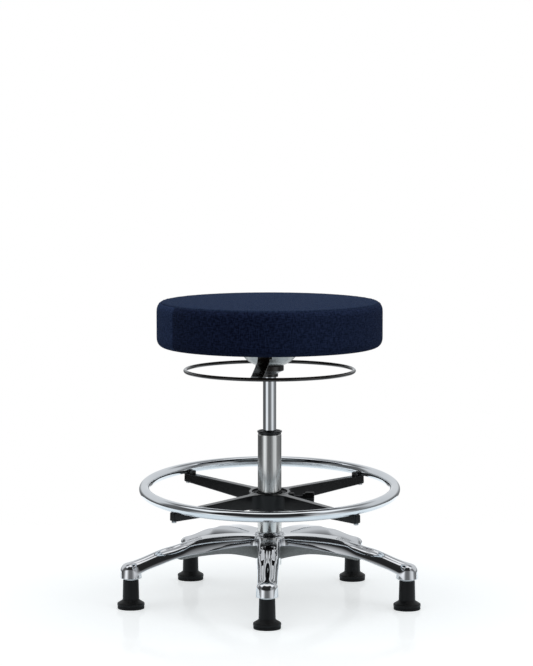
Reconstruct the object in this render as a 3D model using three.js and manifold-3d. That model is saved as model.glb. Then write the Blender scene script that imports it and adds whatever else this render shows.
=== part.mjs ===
// Swivel stool: round upholstered seat on a gas lift, chrome foot ring on a clamped spider,
// five-arm polished base on stationary glides.
// Millimetres, +Z up, front towards -Y. Origin: the middle of the footprint, on the floor.
import * as THREE from "three";
import { mergeVertices } from "three/addons/utils/BufferGeometryUtils.js";
import Module from "manifold-3d";

const wasm = await Module();
wasm.setup();

// Clearances shared by every fit
const FIT = 0.3;
const OVERRUN = 3;

// Facets round a full turn
const FINE_SIDES = 40;
const MEDIUM_SIDES = 24;
const SMALL_SIDES = 16;
const PIN_SIDES = 10;
const RING_SIDES = 48;
const RING_WIRE_SIDES = 6;
const LOBE_SIDES = 3;
const ARC_STEPS = 3;

// Five-arm base: one aluminium casting
const BASE = {
  armCount: 5,
  yawDeg: -1,
  reach: 302.6,
  hubRadius: 32,
  hubBottom: 92,
  hubTop: 150,
  hubEdge: 3,
  bossRadius: 23,
  bossBottom: 64.5,
  bossDome: 16,
  armHalfWidth: 25,
  tipDepth: 22,
  rootDepth: 21,
  edgeAboveBoss: 9.5,
  edgeBelowHubTop: 26,
  sideChamfer: 3,
  ribHalfWidth: 15,
  ribBelowEdge: 17,
  ribRoot: 6,
  pocketHalfWidth: 9,
  pocketDepth: 13,
  pocketStart: 48,
  pocketEnd: 190,
};
// Rows down the arm: share of the reach, of the rise to the crest, of the rise of the lower
// edge, of the half width, and of the half width that the raised crown takes
const ARM_SHARES = [
  [0.06, 0.9, 1.0, 1.0, 0.84],
  [0.15, 0.97, 0.99, 1.0, 0.84],
  [0.254, 1.0, 0.96, 1.0, 0.84],
  [0.413, 0.98, 0.854, 1.0, 0.84],
  [0.529, 0.888, 0.756, 0.97, 0.8],
  [0.638, 0.755, 0.648, 0.92, 0.76],
  [0.694, 0.67, 0.588, 0.9, 0.66],
  [0.734, 0.616, 0.51, 0.88, 0.44],
  [0.81, 0.482, 0.352, 0.86, 0.44],
  [0.915, 0.235, 0.126, 0.83, 0.42],
  [1.0, -0.004, 0.0, 0.83, 0.36],
];
// Rows down the cast rib: share of the reach and of the rise of its lower face
const RIB_SHARES = [
  [0.07, 0.0],
  [0.175, 0.48],
  [0.294, 0.933],
  [0.373, 1.0],
  [0.519, 0.833],
  [0.677, 0.433],
];
// Heights across the arm section, as shares of the section's height
const SHOULDER_SHARE = 0.5;
const CROWN_SIDE_SHARE = 0.86;
const CROWN_FLAT_SHARE = 0.6;

// Stationary glides: moulded body, rubber sole, steel stem
const GLIDE = {
  discRadius: 28.5,
  discTop: 12,
  discEdge: 1,
  shoulderTop: 19,
  neckRadius: 17.4,
  neckTopRadius: 16.25,
  neckChamfer: 1.2,
  soleRadius: 28,
  soleThickness: 6.5,
  soleEdge: 1.5,
  stemRadius: 5.5,
  stemInGlide: 22,
  stemInSocket: 22,
  stemPoint: 1.5,
  collarRadius: 13.75,
  collarThickness: 3,
};

// Outer column, fixed in the base
const COLUMN = {
  radius: 25,
  wall: 2,
  bottom: 78,
  top: 363,
  lipRadius: 26,
  lipHeight: 3,
  lipEdge: 1,
  floorThickness: 4,
  bushingLength: 80,
  bushingRecess: 0.7,
};

// Gas spring: the rod stays on the column floor and the cylinder slides on it
const GAS = {
  radius: 14,
  wall: 2,
  bottom: 197,
  taperLength: 45,
  top: 521,
  taperTopRadius: 13.25,
  topChamfer: 1.2,
  topThickness: 16,
  sealLength: 15,
  rodRadius: 5,
  rodBelowFloor: 7,
  headLength: 10,
  headAboveSeal: 76,
  clipRadius: 9,
  clipThickness: 2,
  clipBelowFloor: 0.6,
  raceRadius: 14,
  raceThickness: 2,
  cageRadius: 13,
  cageThickness: 2.5,
  bumperRadius: 11,
  bumperLength: 10,
  buttonRadius: 4,
  buttonProud: 8,
  buttonSunk: 14,
};

// Lift mechanism: taper hub, pressed bowl, seat plate
const MECH = {
  neckRadius: 18,
  neckAboveTaper: 1,
  neckHeight: 7,
  rimRadius: 30,
  flareHeight: 6,
  rimHeight: 11,
  rimEdge: 2,
  spigotRadius: 22,
  spigotHeight: 19.5,
  bowlWall: 2.5,
  bowlTopRadius: 63,
  bowlHeight: 35.4,
  plateHalfSide: 80,
  plateCorner: 14,
  plateThickness: 3.5,
  boltSpacing: 128,
  boltRadius: 3,
  boltHeadRadius: 5.8,
  boltHeadHeight: 4,
  pinRadius: 2.5,
  pinHalfLength: 35,
  pinOffset: 50,
};
// Bowl outline between its foot and its top edge: shares of the radius and of the height gained
const BOWL_SHARES = [
  [0.0, 0.0],
  [0.24, 0.1],
  [0.52, 0.27],
  [0.73, 0.47],
  [0.91, 0.73],
  [1.0, 1.0],
];

// Release ring and the flat bar across it
const RELEASE = {
  ringRadius: 177.5,
  wireRadius: 3.9,
  ringDrop: 39.3,
  barHalfWidth: 13,
  barThickness: 3,
  barAzimuthDeg: -10,
  flatHalfLength: 61,
  landLength: 25.5,
  rampTop: 66,
  rampDrop: 2.2,
  slotSideGap: 1.6,
  slotDrop: 10.5,
};

// Upholstered seat
const SEAT = {
  radius: 239,
  rimHeight: 97.2,
  crownRise: 3,
  crownInset: 2,
  topRound: 15,
  bottomRound: 12,
  coverThickness: 1.5,
  seamDepth: 1.2,
  seamDeg: 49,
  seamSpreadDeg: 9,
  hemWidth: 33,
  sideDraw: 1.2,
  foamGap: 0.5,
  skirtWidth: 11,
  boardThickness: 12,
  dustCoverThickness: 1,
  nutFlangeRadius: 9.5,
  nutFlangeThickness: 1.5,
  nutBarrelRadius: 4.3,
  nutBarrelLength: 9.5,
};

// Crown of the seat from its rim to its middle: shares of the crown's radius and rise
const CROWN_SHARES = [
  [1, 0],
  [0.6, 0.66],
  [0, 1],
];

// Foot ring, its spider and the sleeve that grips the column
const RING = {
  radius: 264,
  tubeRadius: 11.1,
  tubeWall: 1.5,
  hubMiddle: 213.5,
  hubHeight: 42,
  hubRadius: 43.5,
  hubWall: 6,
  ringAboveMiddle: 27.5,
  leanDeg: 4.3,
  armCount: 4,
  armAzimuthDeg: -48,
  armHalfWidth: 8.25,
  armPastRing: 6,
  armDepthHub: 31,
  armDepthTip: 18,
  armTipLand: 15,
  lugHalfWidth: 5,
  lugLength: 9,
  lugHeight: 8,
  sleeveRecess: 3,
  sleeveSlot: 3,
  screwRadius: 3,
  screwHeadRadius: 5,
  screwHeadHeight: 3,
  screwInTube: 6,
};

// Clamp screw of the foot ring
const CLAMP = {
  azimuthDeg: 87,
  aboveMiddle: 8.5,
  bossRadius: 9,
  bossEnd: 52,
  studRadius: 4,
  padRadius: 6,
  padThickness: 3,
  travel: 2.5,
  knobStart: 75,
  knobRadius: 12,
  knobLength: 19,
  knobLobes: 6,
  knobLobeDepth: 1.1,
  knobBevel: 1.5,
  collarRadius: 8,
  collarLength: 5,
  boreDepth: 12,
};

// Finishes
const FINISH = {
  chrome: { color: 0xd8dcdf, roughness: 0.08, metalness: 1 },
  polishedAluminium: { color: 0xc9cccf, roughness: 0.14, metalness: 1 },
  darkChrome: { color: 0x6c6a68, roughness: 0.25, metalness: 1 },
  steel: { color: 0x9a9da0, roughness: 0.35, metalness: 1 },
  blackPaint: { color: 0x17181a, roughness: 0.4, metalness: 0.1 },
  blackPlastic: { color: 0x1c1d1f, roughness: 0.6, metalness: 0 },
  rubber: { color: 0x141414, roughness: 0.9, metalness: 0 },
  navyCloth: { color: 0x1d2740, roughness: 0.95, metalness: 0 },
  foam: { color: 0xe4dcc2, roughness: 1, metalness: 0 },
  plywood: { color: 0xb8926a, roughness: 0.8, metalness: 0 },
  blackCloth: { color: 0x1a1a1c, roughness: 1, metalness: 0 },
};

// Turns a geometry into a solid for joining and cutting, with its faces pointing out.
function solid(geometry) {
  const bare = new THREE.BufferGeometry();
  const source = geometry.index ? geometry.toNonIndexed() : geometry;
  bare.setAttribute("position", source.getAttribute("position"));
  const merged = mergeVertices(bare, 1e-4);
  const made = (triVerts) =>
    new wasm.Manifold(
      new wasm.Mesh({
        numProp: 3,
        vertProperties: merged.attributes.position.array,
        triVerts,
      }),
    );
  const outward = made(new Uint32Array(merged.index.array));
  if (outward.volume() > 0) return outward;
  const flipped = Array.from(merged.index.array);
  for (let i = 0; i < flipped.length; i += 3) {
    const second = flipped[i + 1];
    flipped[i + 1] = flipped[i + 2];
    flipped[i + 2] = second;
  }
  return made(new Uint32Array(flipped));
}

// Gives a solid back as a geometry.
function geometryOf(body) {
  const mesh = body.getMesh();
  const positions = new Float32Array(mesh.numVert * 3);
  for (let i = 0; i < mesh.numVert; i++) {
    const at = i * mesh.numProp;
    positions.set(mesh.vertProperties.subarray(at, at + 3), i * 3);
  }
  const geometry = new THREE.BufferGeometry();
  geometry.setAttribute("position", new THREE.BufferAttribute(positions, 3));
  geometry.setIndex(new THREE.BufferAttribute(mesh.triVerts, 1));
  geometry.computeVertexNormals();
  return geometry;
}

function joined(geometries) {
  return geometries.map(solid).reduce((whole, next) => whole.add(next));
}

function cutFrom(body, geometries) {
  return geometries.map(solid).reduce((whole, tool) => whole.subtract(tool), body);
}

// Revolves a profile of [radius, height] points about the Z axis. A profile either starts and
// ends on the axis or is closed, and runs anticlockwise: out along the bottom, then up.
function turned(profile, sides) {
  const points = profile.map(([radius, height]) => new THREE.Vector2(radius, height));
  const onAxis = profile[0][0] === 0;
  if (!onAxis) points.push(points[0].clone());
  return new THREE.LatheGeometry(points, sides).rotateX(Math.PI / 2);
}

// A ring of rectangular section: tubes, washers and, with no bore, discs and pins.
function ringSolid(bore, radius, bottom, top, sides) {
  if (bore === 0) {
    return turned([[0, bottom], [radius, bottom], [radius, top], [0, top]], sides);
  }
  return turned([[bore, bottom], [radius, bottom], [radius, top], [bore, top]], sides);
}

// Points of a quarter turn of an arc from one direction to the next, both ends included.
function arcPoints(centreRadius, centreHeight, round, fromDeg, toDeg, steps = ARC_STEPS) {
  return Array.from({ length: steps + 1 }, (_, i) => {
    const angle = THREE.MathUtils.degToRad(fromDeg + ((toDeg - fromDeg) * i) / steps);
    return [centreRadius + round * Math.cos(angle), centreHeight + round * Math.sin(angle)];
  });
}

// Skins a row of closed rings of points, each ring with as many points, and closes both ends.
function skinned(rings) {
  const count = rings[0].length;
  const positions = rings.flat(2);
  const index = [];
  for (let r = 0; r + 1 < rings.length; r++) {
    for (let i = 0; i < count; i++) {
      const here = r * count + i;
      const beside = r * count + ((i + 1) % count);
      index.push(here, beside, beside + count, here, beside + count, here + count);
    }
  }
  for (const r of [0, rings.length - 1]) {
    const centre = positions.length / 3;
    const sum = rings[r].reduce((total, p) => total.map((v, k) => v + p[k]), [0, 0, 0]);
    positions.push(...sum.map((v) => v / count));
    for (let i = 0; i < count; i++) {
      const here = r * count + i;
      const beside = r * count + ((i + 1) % count);
      if (r === 0) index.push(centre, beside, here);
      else index.push(centre, here, beside);
    }
  }
  const geometry = new THREE.BufferGeometry();
  geometry.setAttribute("position", new THREE.Float32BufferAttribute(positions, 3));
  geometry.setIndex(index);
  return geometry;
}

function box(fromX, toX, fromY, toY, fromZ, toZ) {
  const geometry = new THREE.BoxGeometry(toX - fromX, toY - fromY, toZ - fromZ);
  return geometry.translate((fromX + toX) / 2, (fromY + toY) / 2, (fromZ + toZ) / 2);
}

// A pin along X from one distance to another, at a height.
function crossPin(radius, from, to, height, sides) {
  const geometry = new THREE.CylinderGeometry(radius, radius, to - from, sides);
  return geometry.rotateZ(-Math.PI / 2).translate((from + to) / 2, 0, height);
}

// The angle about Z that turns +X to an azimuth counted from the front towards the right.
function azimuth(degrees) {
  return THREE.MathUtils.degToRad(degrees - 90);
}

// Extrudes an upright outline of [along X, height] points across Y, centred on Y = 0.
function uprightSlab(outline, halfWidth) {
  const shape = new THREE.Shape(outline.map(([x, z]) => new THREE.Vector2(x, z)));
  const geometry = new THREE.ExtrudeGeometry(shape, {
    depth: 2 * halfWidth,
    bevelEnabled: false,
  });
  return geometry.rotateX(Math.PI / 2).translate(0, halfWidth, 0);
}

function mesh(name, geometry, finish) {
  const made = new THREE.Mesh(geometry, new THREE.MeshStandardMaterial(FINISH[finish]));
  made.name = name;
  return made;
}

// The base: heights worked up from the tip bosses and down from the top of the hub

const EDGE_TIP = BASE.bossBottom + BASE.edgeAboveBoss;
const EDGE_HUB = BASE.hubTop - BASE.edgeBelowHubTop;
const BOSS_TOP = EDGE_TIP + BASE.tipDepth;
const CREST_TOP = EDGE_HUB + BASE.rootDepth;
const RIB_TOP = EDGE_HUB - BASE.ribBelowEdge;

// Section across an arm at one row of the table, as points at x = distance from the axis.
function armSection([reachShare, crestShare, edgeShare, widthShare, crownShare]) {
  const x = reachShare * BASE.reach;
  const crest = BOSS_TOP + crestShare * (CREST_TOP - BOSS_TOP);
  const edge = EDGE_TIP + edgeShare * (EDGE_HUB - EDGE_TIP);
  const half = widthShare * BASE.armHalfWidth;
  const crown = crownShare * half;
  const shoulder = edge + SHOULDER_SHARE * (crest - edge);
  const crownSide = edge + CROWN_SIDE_SHARE * (crest - edge);
  const right = [
    [half, edge],
    [half, shoulder - BASE.sideChamfer],
    [half - BASE.sideChamfer, shoulder],
    [crown, crownSide],
    [CROWN_FLAT_SHARE * crown, crest],
  ];
  const left = right.map(([y, z]) => [-y, z]).reverse();
  return [...right, ...left].map(([y, z]) => [x, y, z]);
}

function ribSection([reachShare, riseShare]) {
  const x = reachShare * BASE.reach;
  const bottom = BASE.hubBottom + riseShare * (RIB_TOP - BASE.hubBottom);
  const top = lowerEdgeAt(x) + BASE.ribRoot;
  return [
    [x, BASE.ribHalfWidth, bottom],
    [x, BASE.ribHalfWidth, top],
    [x, -BASE.ribHalfWidth, top],
    [x, -BASE.ribHalfWidth, bottom],
  ];
}

// Height of the arm's lower edge at a distance from the axis, between the rows of the table.
function lowerEdgeAt(x) {
  const share = x / BASE.reach;
  const next = ARM_SHARES.findIndex((row) => row[0] >= share);
  const [a, b] = [ARM_SHARES[Math.max(next - 1, 0)], ARM_SHARES[next]];
  const t = a === b ? 0 : (share - a[0]) / (b[0] - a[0]);
  const edgeShare = a[2] + t * (b[2] - a[2]);
  return EDGE_TIP + edgeShare * (EDGE_HUB - EDGE_TIP);
}

function pocketTool() {
  const start = BASE.pocketStart;
  const end = BASE.pocketEnd;
  const middle = (start + end) / 2;
  const roofEnds = RIB_TOP + BASE.pocketDepth / 2;
  const roof = RIB_TOP + BASE.pocketDepth;
  const floor = BASE.hubBottom - OVERRUN;
  return uprightSlab(
    [[start, floor], [end, floor], [end, roofEnds - BASE.ribRoot], [middle, roof], [start, roofEnds]],
    BASE.pocketHalfWidth,
  );
}

function tipBoss() {
  const dome = arcPoints(
    BASE.bossRadius - BASE.bossDome, BOSS_TOP - BASE.bossDome, BASE.bossDome, 0, 90,
  );
  const profile = [[0, BASE.bossBottom], [BASE.bossRadius, BASE.bossBottom], ...dome];
  return turned([...profile, [0, BOSS_TOP]], SMALL_SIDES).translate(BASE.reach, 0, 0);
}

function socketTool() {
  const top = BASE.bossBottom + GLIDE.stemInSocket + FIT;
  return ringSolid(0, GLIDE.stemRadius + FIT, BASE.bossBottom - OVERRUN, top, PIN_SIDES)
    .translate(BASE.reach, 0, 0);
}

function starBase() {
  const boreRadius = COLUMN.radius + FIT;
  const hub = turned(
    [
      [0, BASE.hubBottom],
      [BASE.hubRadius - BASE.hubEdge, BASE.hubBottom],
      [BASE.hubRadius, BASE.hubBottom + BASE.hubEdge],
      [BASE.hubRadius, BASE.hubTop - BASE.hubEdge],
      [BASE.hubRadius - BASE.hubEdge, BASE.hubTop],
      [0, BASE.hubTop],
    ],
    MEDIUM_SIDES,
  );
  let casting = solid(hub);
  const cuts = [];
  for (let i = 0; i < BASE.armCount; i++) {
    const turn = azimuth(BASE.yawDeg + (i * 360) / BASE.armCount);
    const arm = skinned(ARM_SHARES.map(armSection));
    const rib = skinned(RIB_SHARES.map(ribSection));
    const grown = joined([arm, rib, tipBoss()].map((g) => g.rotateZ(turn)));
    casting = casting.add(grown);
    cuts.push(pocketTool().rotateZ(turn), socketTool().rotateZ(turn));
  }
  const low = BASE.hubBottom - OVERRUN;
  cuts.push(ringSolid(0, boreRadius, low, BASE.hubTop + OVERRUN, MEDIUM_SIDES));
  return mesh("star_base", geometryOf(cutFrom(casting, cuts)), "polishedAluminium");
}

// The glides

const COLLAR_TOP = BASE.bossBottom - FIT;
const COLLAR_BOTTOM = COLLAR_TOP - GLIDE.collarThickness;
const NECK_TOP = COLLAR_BOTTOM - FIT;
const BODY_BOTTOM = GLIDE.soleThickness + FIT;

function glideBody() {
  const bore = GLIDE.stemRadius + FIT;
  const boreBottom = NECK_TOP - GLIDE.stemInGlide - FIT;
  return turned(
    [
      [0, BODY_BOTTOM],
      [GLIDE.discRadius, BODY_BOTTOM],
      [GLIDE.discRadius, GLIDE.discTop - GLIDE.discEdge],
      [GLIDE.discRadius - GLIDE.discEdge, GLIDE.discTop],
      [GLIDE.neckRadius, GLIDE.shoulderTop],
      [GLIDE.neckTopRadius, NECK_TOP - GLIDE.neckChamfer],
      [GLIDE.neckTopRadius - GLIDE.neckChamfer, NECK_TOP],
      [bore, NECK_TOP],
      [bore, boreBottom],
      [0, boreBottom],
    ],
    SMALL_SIDES,
  );
}

function glideSole() {
  return turned(
    [
      [0, 0],
      [GLIDE.soleRadius - GLIDE.soleEdge, 0],
      [GLIDE.soleRadius, GLIDE.soleEdge],
      [GLIDE.soleRadius, GLIDE.soleThickness],
      [0, GLIDE.soleThickness],
    ],
    SMALL_SIDES,
  );
}

function glideStem() {
  const top = BASE.bossBottom + GLIDE.stemInSocket;
  return turned(
    [
      [0, NECK_TOP - GLIDE.stemInGlide],
      [GLIDE.stemRadius, NECK_TOP - GLIDE.stemInGlide],
      [GLIDE.stemRadius, COLLAR_BOTTOM],
      [GLIDE.collarRadius, COLLAR_BOTTOM],
      [GLIDE.collarRadius, COLLAR_TOP],
      [GLIDE.stemRadius, COLLAR_TOP],
      [GLIDE.stemRadius, top - GLIDE.stemPoint],
      [GLIDE.stemRadius - GLIDE.stemPoint, top],
      [0, top],
    ],
    PIN_SIDES,
  );
}

function glides() {
  const all = new THREE.Group();
  for (let i = 0; i < BASE.armCount; i++) {
    const turn = azimuth(BASE.yawDeg + (i * 360) / BASE.armCount);
    const foot = new THREE.Group();
    foot.position.set(BASE.reach * Math.cos(turn), BASE.reach * Math.sin(turn), 0);
    foot.add(mesh(`glide_body_${i + 1}`, glideBody(), "blackPlastic"));
    foot.add(mesh(`glide_sole_${i + 1}`, glideSole(), "rubber"));
    foot.add(mesh(`glide_stem_${i + 1}`, glideStem(), "steel"));
    all.add(foot);
  }
  return all;
}

// The column and the gas spring

const COLUMN_BORE = COLUMN.radius - COLUMN.wall;
const FLOOR_TOP = COLUMN.bottom + COLUMN.floorThickness;
const ROD_HOLE = GAS.rodRadius + FIT;

function columnTube() {
  return turned(
    [
      [ROD_HOLE, COLUMN.bottom],
      [COLUMN.radius, COLUMN.bottom],
      [COLUMN.radius, COLUMN.top - COLUMN.lipHeight],
      [COLUMN.lipRadius, COLUMN.top - COLUMN.lipHeight + COLUMN.lipEdge],
      [COLUMN.lipRadius, COLUMN.top - COLUMN.lipEdge],
      [COLUMN.lipRadius - COLUMN.lipEdge, COLUMN.top],
      [COLUMN_BORE, COLUMN.top],
      [COLUMN_BORE, FLOOR_TOP],
      [ROD_HOLE, FLOOR_TOP],
    ],
    MEDIUM_SIDES,
  );
}

function guideBushing() {
  const top = COLUMN.top - COLUMN.bushingRecess;
  const bottom = top - COLUMN.bushingLength;
  return ringSolid(GAS.radius + FIT, COLUMN_BORE - FIT, bottom, top, MEDIUM_SIDES);
}

function columnUnit() {
  const unit = new THREE.Group();
  unit.add(mesh("column_tube", columnTube(), "chrome"));
  unit.add(mesh("guide_bushing", guideBushing(), "blackPlastic"));
  return unit;
}

// The stack on the column floor, from the floor up
function bearingStack() {
  const lowerBottom = FLOOR_TOP + FIT;
  const cageBottom = lowerBottom + GAS.raceThickness + FIT;
  const upperBottom = cageBottom + GAS.cageThickness + FIT;
  const bumperBottom = upperBottom + GAS.raceThickness + FIT;
  const washer = (name, radius, bottom, height, finish) =>
    mesh(name, ringSolid(ROD_HOLE, radius, bottom, bottom + height, SMALL_SIDES), finish);
  const clipTop = COLUMN.bottom - GAS.clipBelowFloor;
  const stack = new THREE.Group();
  stack.add(washer("bearing_lower_race", GAS.raceRadius, lowerBottom, GAS.raceThickness, "steel"));
  stack.add(washer("bearing_cage", GAS.cageRadius, cageBottom, GAS.cageThickness, "steel"));
  stack.add(washer("bearing_upper_race", GAS.raceRadius, upperBottom, GAS.raceThickness, "steel"));
  stack.add(washer("rubber_bumper", GAS.bumperRadius, bumperBottom, GAS.bumperLength, "rubber"));
  stack.add(
    washer("retaining_clip", GAS.clipRadius, clipTop - GAS.clipThickness, GAS.clipThickness, "steel"),
  );
  return stack;
}

const TAPER_START = GAS.top - GAS.taperLength;
const HEAD_BOTTOM = GAS.bottom + GAS.sealLength + GAS.headAboveSeal;

function gasCylinder() {
  const bore = GAS.radius - GAS.wall;
  const buttonBore = GAS.buttonRadius + FIT;
  const ceiling = GAS.top - GAS.topThickness;
  return turned(
    [
      [bore, GAS.bottom],
      [GAS.radius, GAS.bottom],
      [GAS.radius, TAPER_START],
      [GAS.taperTopRadius, GAS.top - GAS.topChamfer],
      [GAS.taperTopRadius - GAS.topChamfer, GAS.top],
      [buttonBore, GAS.top],
      [buttonBore, ceiling],
      [bore, ceiling],
    ],
    MEDIUM_SIDES,
  );
}

function gasSpring() {
  const bore = GAS.radius - GAS.wall;
  const seal = ringSolid(
    ROD_HOLE, bore - FIT, GAS.bottom, GAS.bottom + GAS.sealLength, SMALL_SIDES,
  );
  const rodBottom = COLUMN.bottom - GAS.rodBelowFloor;
  const rod = ringSolid(0, GAS.rodRadius, rodBottom, HEAD_BOTTOM - FIT, SMALL_SIDES);
  const headTop = HEAD_BOTTOM + GAS.headLength;
  const head = ringSolid(0, bore - FIT, HEAD_BOTTOM, headTop, SMALL_SIDES);
  const button = ringSolid(
    0, GAS.buttonRadius, GAS.top - GAS.buttonSunk, GAS.top + GAS.buttonProud, SMALL_SIDES,
  );
  const spring = new THREE.Group();
  spring.add(mesh("gas_cylinder", gasCylinder(), "chrome"));
  spring.add(mesh("rod_guide_seal", seal, "blackPlastic"));
  spring.add(mesh("piston_rod", rod, "steel"));
  spring.add(mesh("piston_head", head, "steel"));
  spring.add(mesh("release_button", button, "steel"));
  return spring;
}

// The lift mechanism under the seat

const BAR_BOTTOM = GAS.top + GAS.buttonProud + FIT;
const RELEASE_HEIGHT = BAR_BOTTOM - RELEASE.ringDrop;
const PIN_HEIGHT = BAR_BOTTOM - FIT - MECH.pinRadius;
const HUB_BOTTOM = TAPER_START + MECH.neckAboveTaper;
const NECK_END = HUB_BOTTOM + MECH.neckHeight;
const RIM_BOTTOM = NECK_END + MECH.flareHeight;
const HUB_TOP = RIM_BOTTOM + MECH.rimHeight;
const SPIGOT_TOP = HUB_TOP + MECH.spigotHeight;
const BOWL_FOOT = HUB_TOP + FIT;
const BOWL_TOP = BOWL_FOOT + MECH.bowlHeight;
const PLATE_BOTTOM = BOWL_TOP + FIT;
const PLATE_TOP = PLATE_BOTTOM + MECH.plateThickness;

function taperHub() {
  const lift = HUB_BOTTOM - TAPER_START;
  const taper = (GAS.radius - GAS.taperTopRadius) / (GAS.top - TAPER_START);
  const boreLow = GAS.radius - lift * taper + FIT;
  const boreHigh = GAS.radius - (SPIGOT_TOP - TAPER_START) * taper + FIT;
  const rimLow = RIM_BOTTOM - MECH.rimEdge;
  return turned(
    [
      [boreLow, HUB_BOTTOM],
      [MECH.neckRadius, HUB_BOTTOM],
      [MECH.neckRadius, NECK_END],
      [MECH.rimRadius - MECH.rimEdge, rimLow],
      [MECH.rimRadius, RIM_BOTTOM],
      [MECH.rimRadius, HUB_TOP - MECH.rimEdge],
      [MECH.rimRadius - MECH.rimEdge, HUB_TOP],
      [MECH.spigotRadius, HUB_TOP],
      [MECH.spigotRadius, SPIGOT_TOP],
      [boreHigh, SPIGOT_TOP],
    ],
    MEDIUM_SIDES,
  );
}

// The bowl's two skins follow the same shares, a wall apart.
function mechanismBowl() {
  const footRadius = MECH.rimRadius - MECH.rimEdge;
  const skin = (inset, lift) =>
    BOWL_SHARES.map(([out, up]) => [
      footRadius - inset + out * (MECH.bowlTopRadius - footRadius),
      BOWL_FOOT + lift + up * (MECH.bowlHeight - lift),
    ]);
  const collar = MECH.spigotRadius + FIT;
  const inner = skin(MECH.bowlWall, MECH.bowlWall).reverse();
  const shell = solid(
    turned([[collar, BOWL_FOOT], ...skin(0, 0), ...inner, [collar, BOWL_FOOT + MECH.bowlWall]], MEDIUM_SIDES),
  );
  const slotHalf = RELEASE.barHalfWidth + RELEASE.slotSideGap;
  const slotBottom = BAR_BOTTOM - RELEASE.slotDrop;
  const reach = MECH.bowlTopRadius + OVERRUN;
  const slot = box(-reach, reach, -slotHalf, slotHalf, slotBottom, BOWL_TOP + OVERRUN);
  const pinEnd = MECH.pinHalfLength + OVERRUN;
  const pinHole = crossPin(MECH.pinRadius + FIT, -pinEnd, pinEnd, PIN_HEIGHT, PIN_SIDES)
    .rotateZ(Math.PI / 2)
    .translate(-MECH.pinOffset, 0, 0);
  return geometryOf(cutFrom(shell, [slot, pinHole]));
}

function boltPlaces() {
  const half = MECH.boltSpacing / 2;
  return [[-half, -half], [half, -half], [half, half], [-half, half]];
}

function seatPlate() {
  const half = MECH.plateHalfSide;
  const inner = half - MECH.plateCorner;
  const shape = new THREE.Shape();
  shape.absarc(inner, inner, MECH.plateCorner, 0, Math.PI / 2);
  shape.absarc(-inner, inner, MECH.plateCorner, Math.PI / 2, Math.PI);
  shape.absarc(-inner, -inner, MECH.plateCorner, Math.PI, Math.PI * 1.5);
  shape.absarc(inner, -inner, MECH.plateCorner, Math.PI * 1.5, Math.PI * 2);
  for (const [x, y] of boltPlaces()) {
    const hole = new THREE.Path();
    hole.absarc(x, y, MECH.boltRadius + FIT, 0, Math.PI * 2, true);
    shape.holes.push(hole);
  }
  const plate = new THREE.ExtrudeGeometry(shape, {
    depth: MECH.plateThickness,
    bevelEnabled: false,
    curveSegments: PIN_SIDES / 2,
  });
  return plate.translate(0, 0, PLATE_BOTTOM);
}

function liftMechanism() {
  const pin = crossPin(
    MECH.pinRadius, -MECH.pinHalfLength, MECH.pinHalfLength, PIN_HEIGHT, PIN_SIDES,
  );
  pin.rotateZ(Math.PI / 2).translate(-MECH.pinOffset, 0, 0);
  const turnedToBar = new THREE.Group();
  turnedToBar.rotation.z = azimuth(RELEASE.barAzimuthDeg) + Math.PI;
  turnedToBar.add(mesh("mechanism_bowl", mechanismBowl(), "darkChrome"));
  turnedToBar.add(mesh("bar_pivot_pin", pin, "steel"));
  const unit = new THREE.Group();
  unit.add(mesh("taper_hub", taperHub(), "blackPaint"));
  unit.add(turnedToBar);
  unit.add(mesh("seat_plate", seatPlate(), "blackPaint"));
  return unit;
}

// Side view of the release bar, front half mirrored to the back.
function releaseBar() {
  const endZ = RELEASE_HEIGHT - RELEASE.barThickness / 2;
  const lower = [
    [RELEASE.ringRadius, endZ],
    [RELEASE.ringRadius - RELEASE.landLength, endZ],
    [RELEASE.rampTop, BAR_BOTTOM - RELEASE.rampDrop],
    [RELEASE.flatHalfLength, BAR_BOTTOM],
  ];
  const underside = [...lower.map(([x, z]) => [-x, z]), ...lower.reverse()];
  const topside = underside.map(([x, z]) => [x, z + RELEASE.barThickness]).reverse();
  const slab = solid(uprightSlab([...underside, ...topside], RELEASE.barHalfWidth));
  const facetDepth = RELEASE.ringRadius * (1 - Math.cos(Math.PI / FINE_SIDES));
  const endRadius = RELEASE.ringRadius - RELEASE.wireRadius - facetDepth - FIT;
  const keep = ringSolid(
    0, endRadius, RELEASE_HEIGHT - RELEASE.wireRadius, PLATE_BOTTOM, FINE_SIDES,
  );
  return geometryOf(slab.intersect(solid(keep)));
}

function releaseUnit() {
  const ring = new THREE.TorusGeometry(
    RELEASE.ringRadius, RELEASE.wireRadius, RING_WIRE_SIDES, FINE_SIDES,
  );
  const ringMesh = mesh("release_ring", ring, "blackPaint");
  ringMesh.position.z = RELEASE_HEIGHT;
  const unit = new THREE.Group();
  unit.rotation.z = azimuth(RELEASE.barAzimuthDeg) + Math.PI;
  unit.add(ringMesh);
  unit.add(mesh("release_bar", releaseBar(), "blackPaint"));
  return unit;
}

// The seat

const SEAT_BOTTOM = PLATE_TOP + FIT;
const RIM_TOP = SEAT_BOTTOM + SEAT.rimHeight;
const CROWN_RADIUS = SEAT.radius - SEAT.topRound - SEAT.crownInset;
const COVER_INNER = SEAT.radius - SEAT.coverThickness;
const FOAM_RADIUS = COVER_INNER - SEAT.foamGap;
const BOARD_RADIUS = FOAM_RADIUS - SEAT.skirtWidth;
const BOARD_BOTTOM = SEAT_BOTTOM + SEAT.coverThickness + FIT;
const BOARD_TOP = BOARD_BOTTOM + SEAT.boardThickness;
const HEM_RADIUS = SEAT.radius - SEAT.hemWidth;
// The hem lies in the same layer as the dust cover, under the board.

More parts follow.
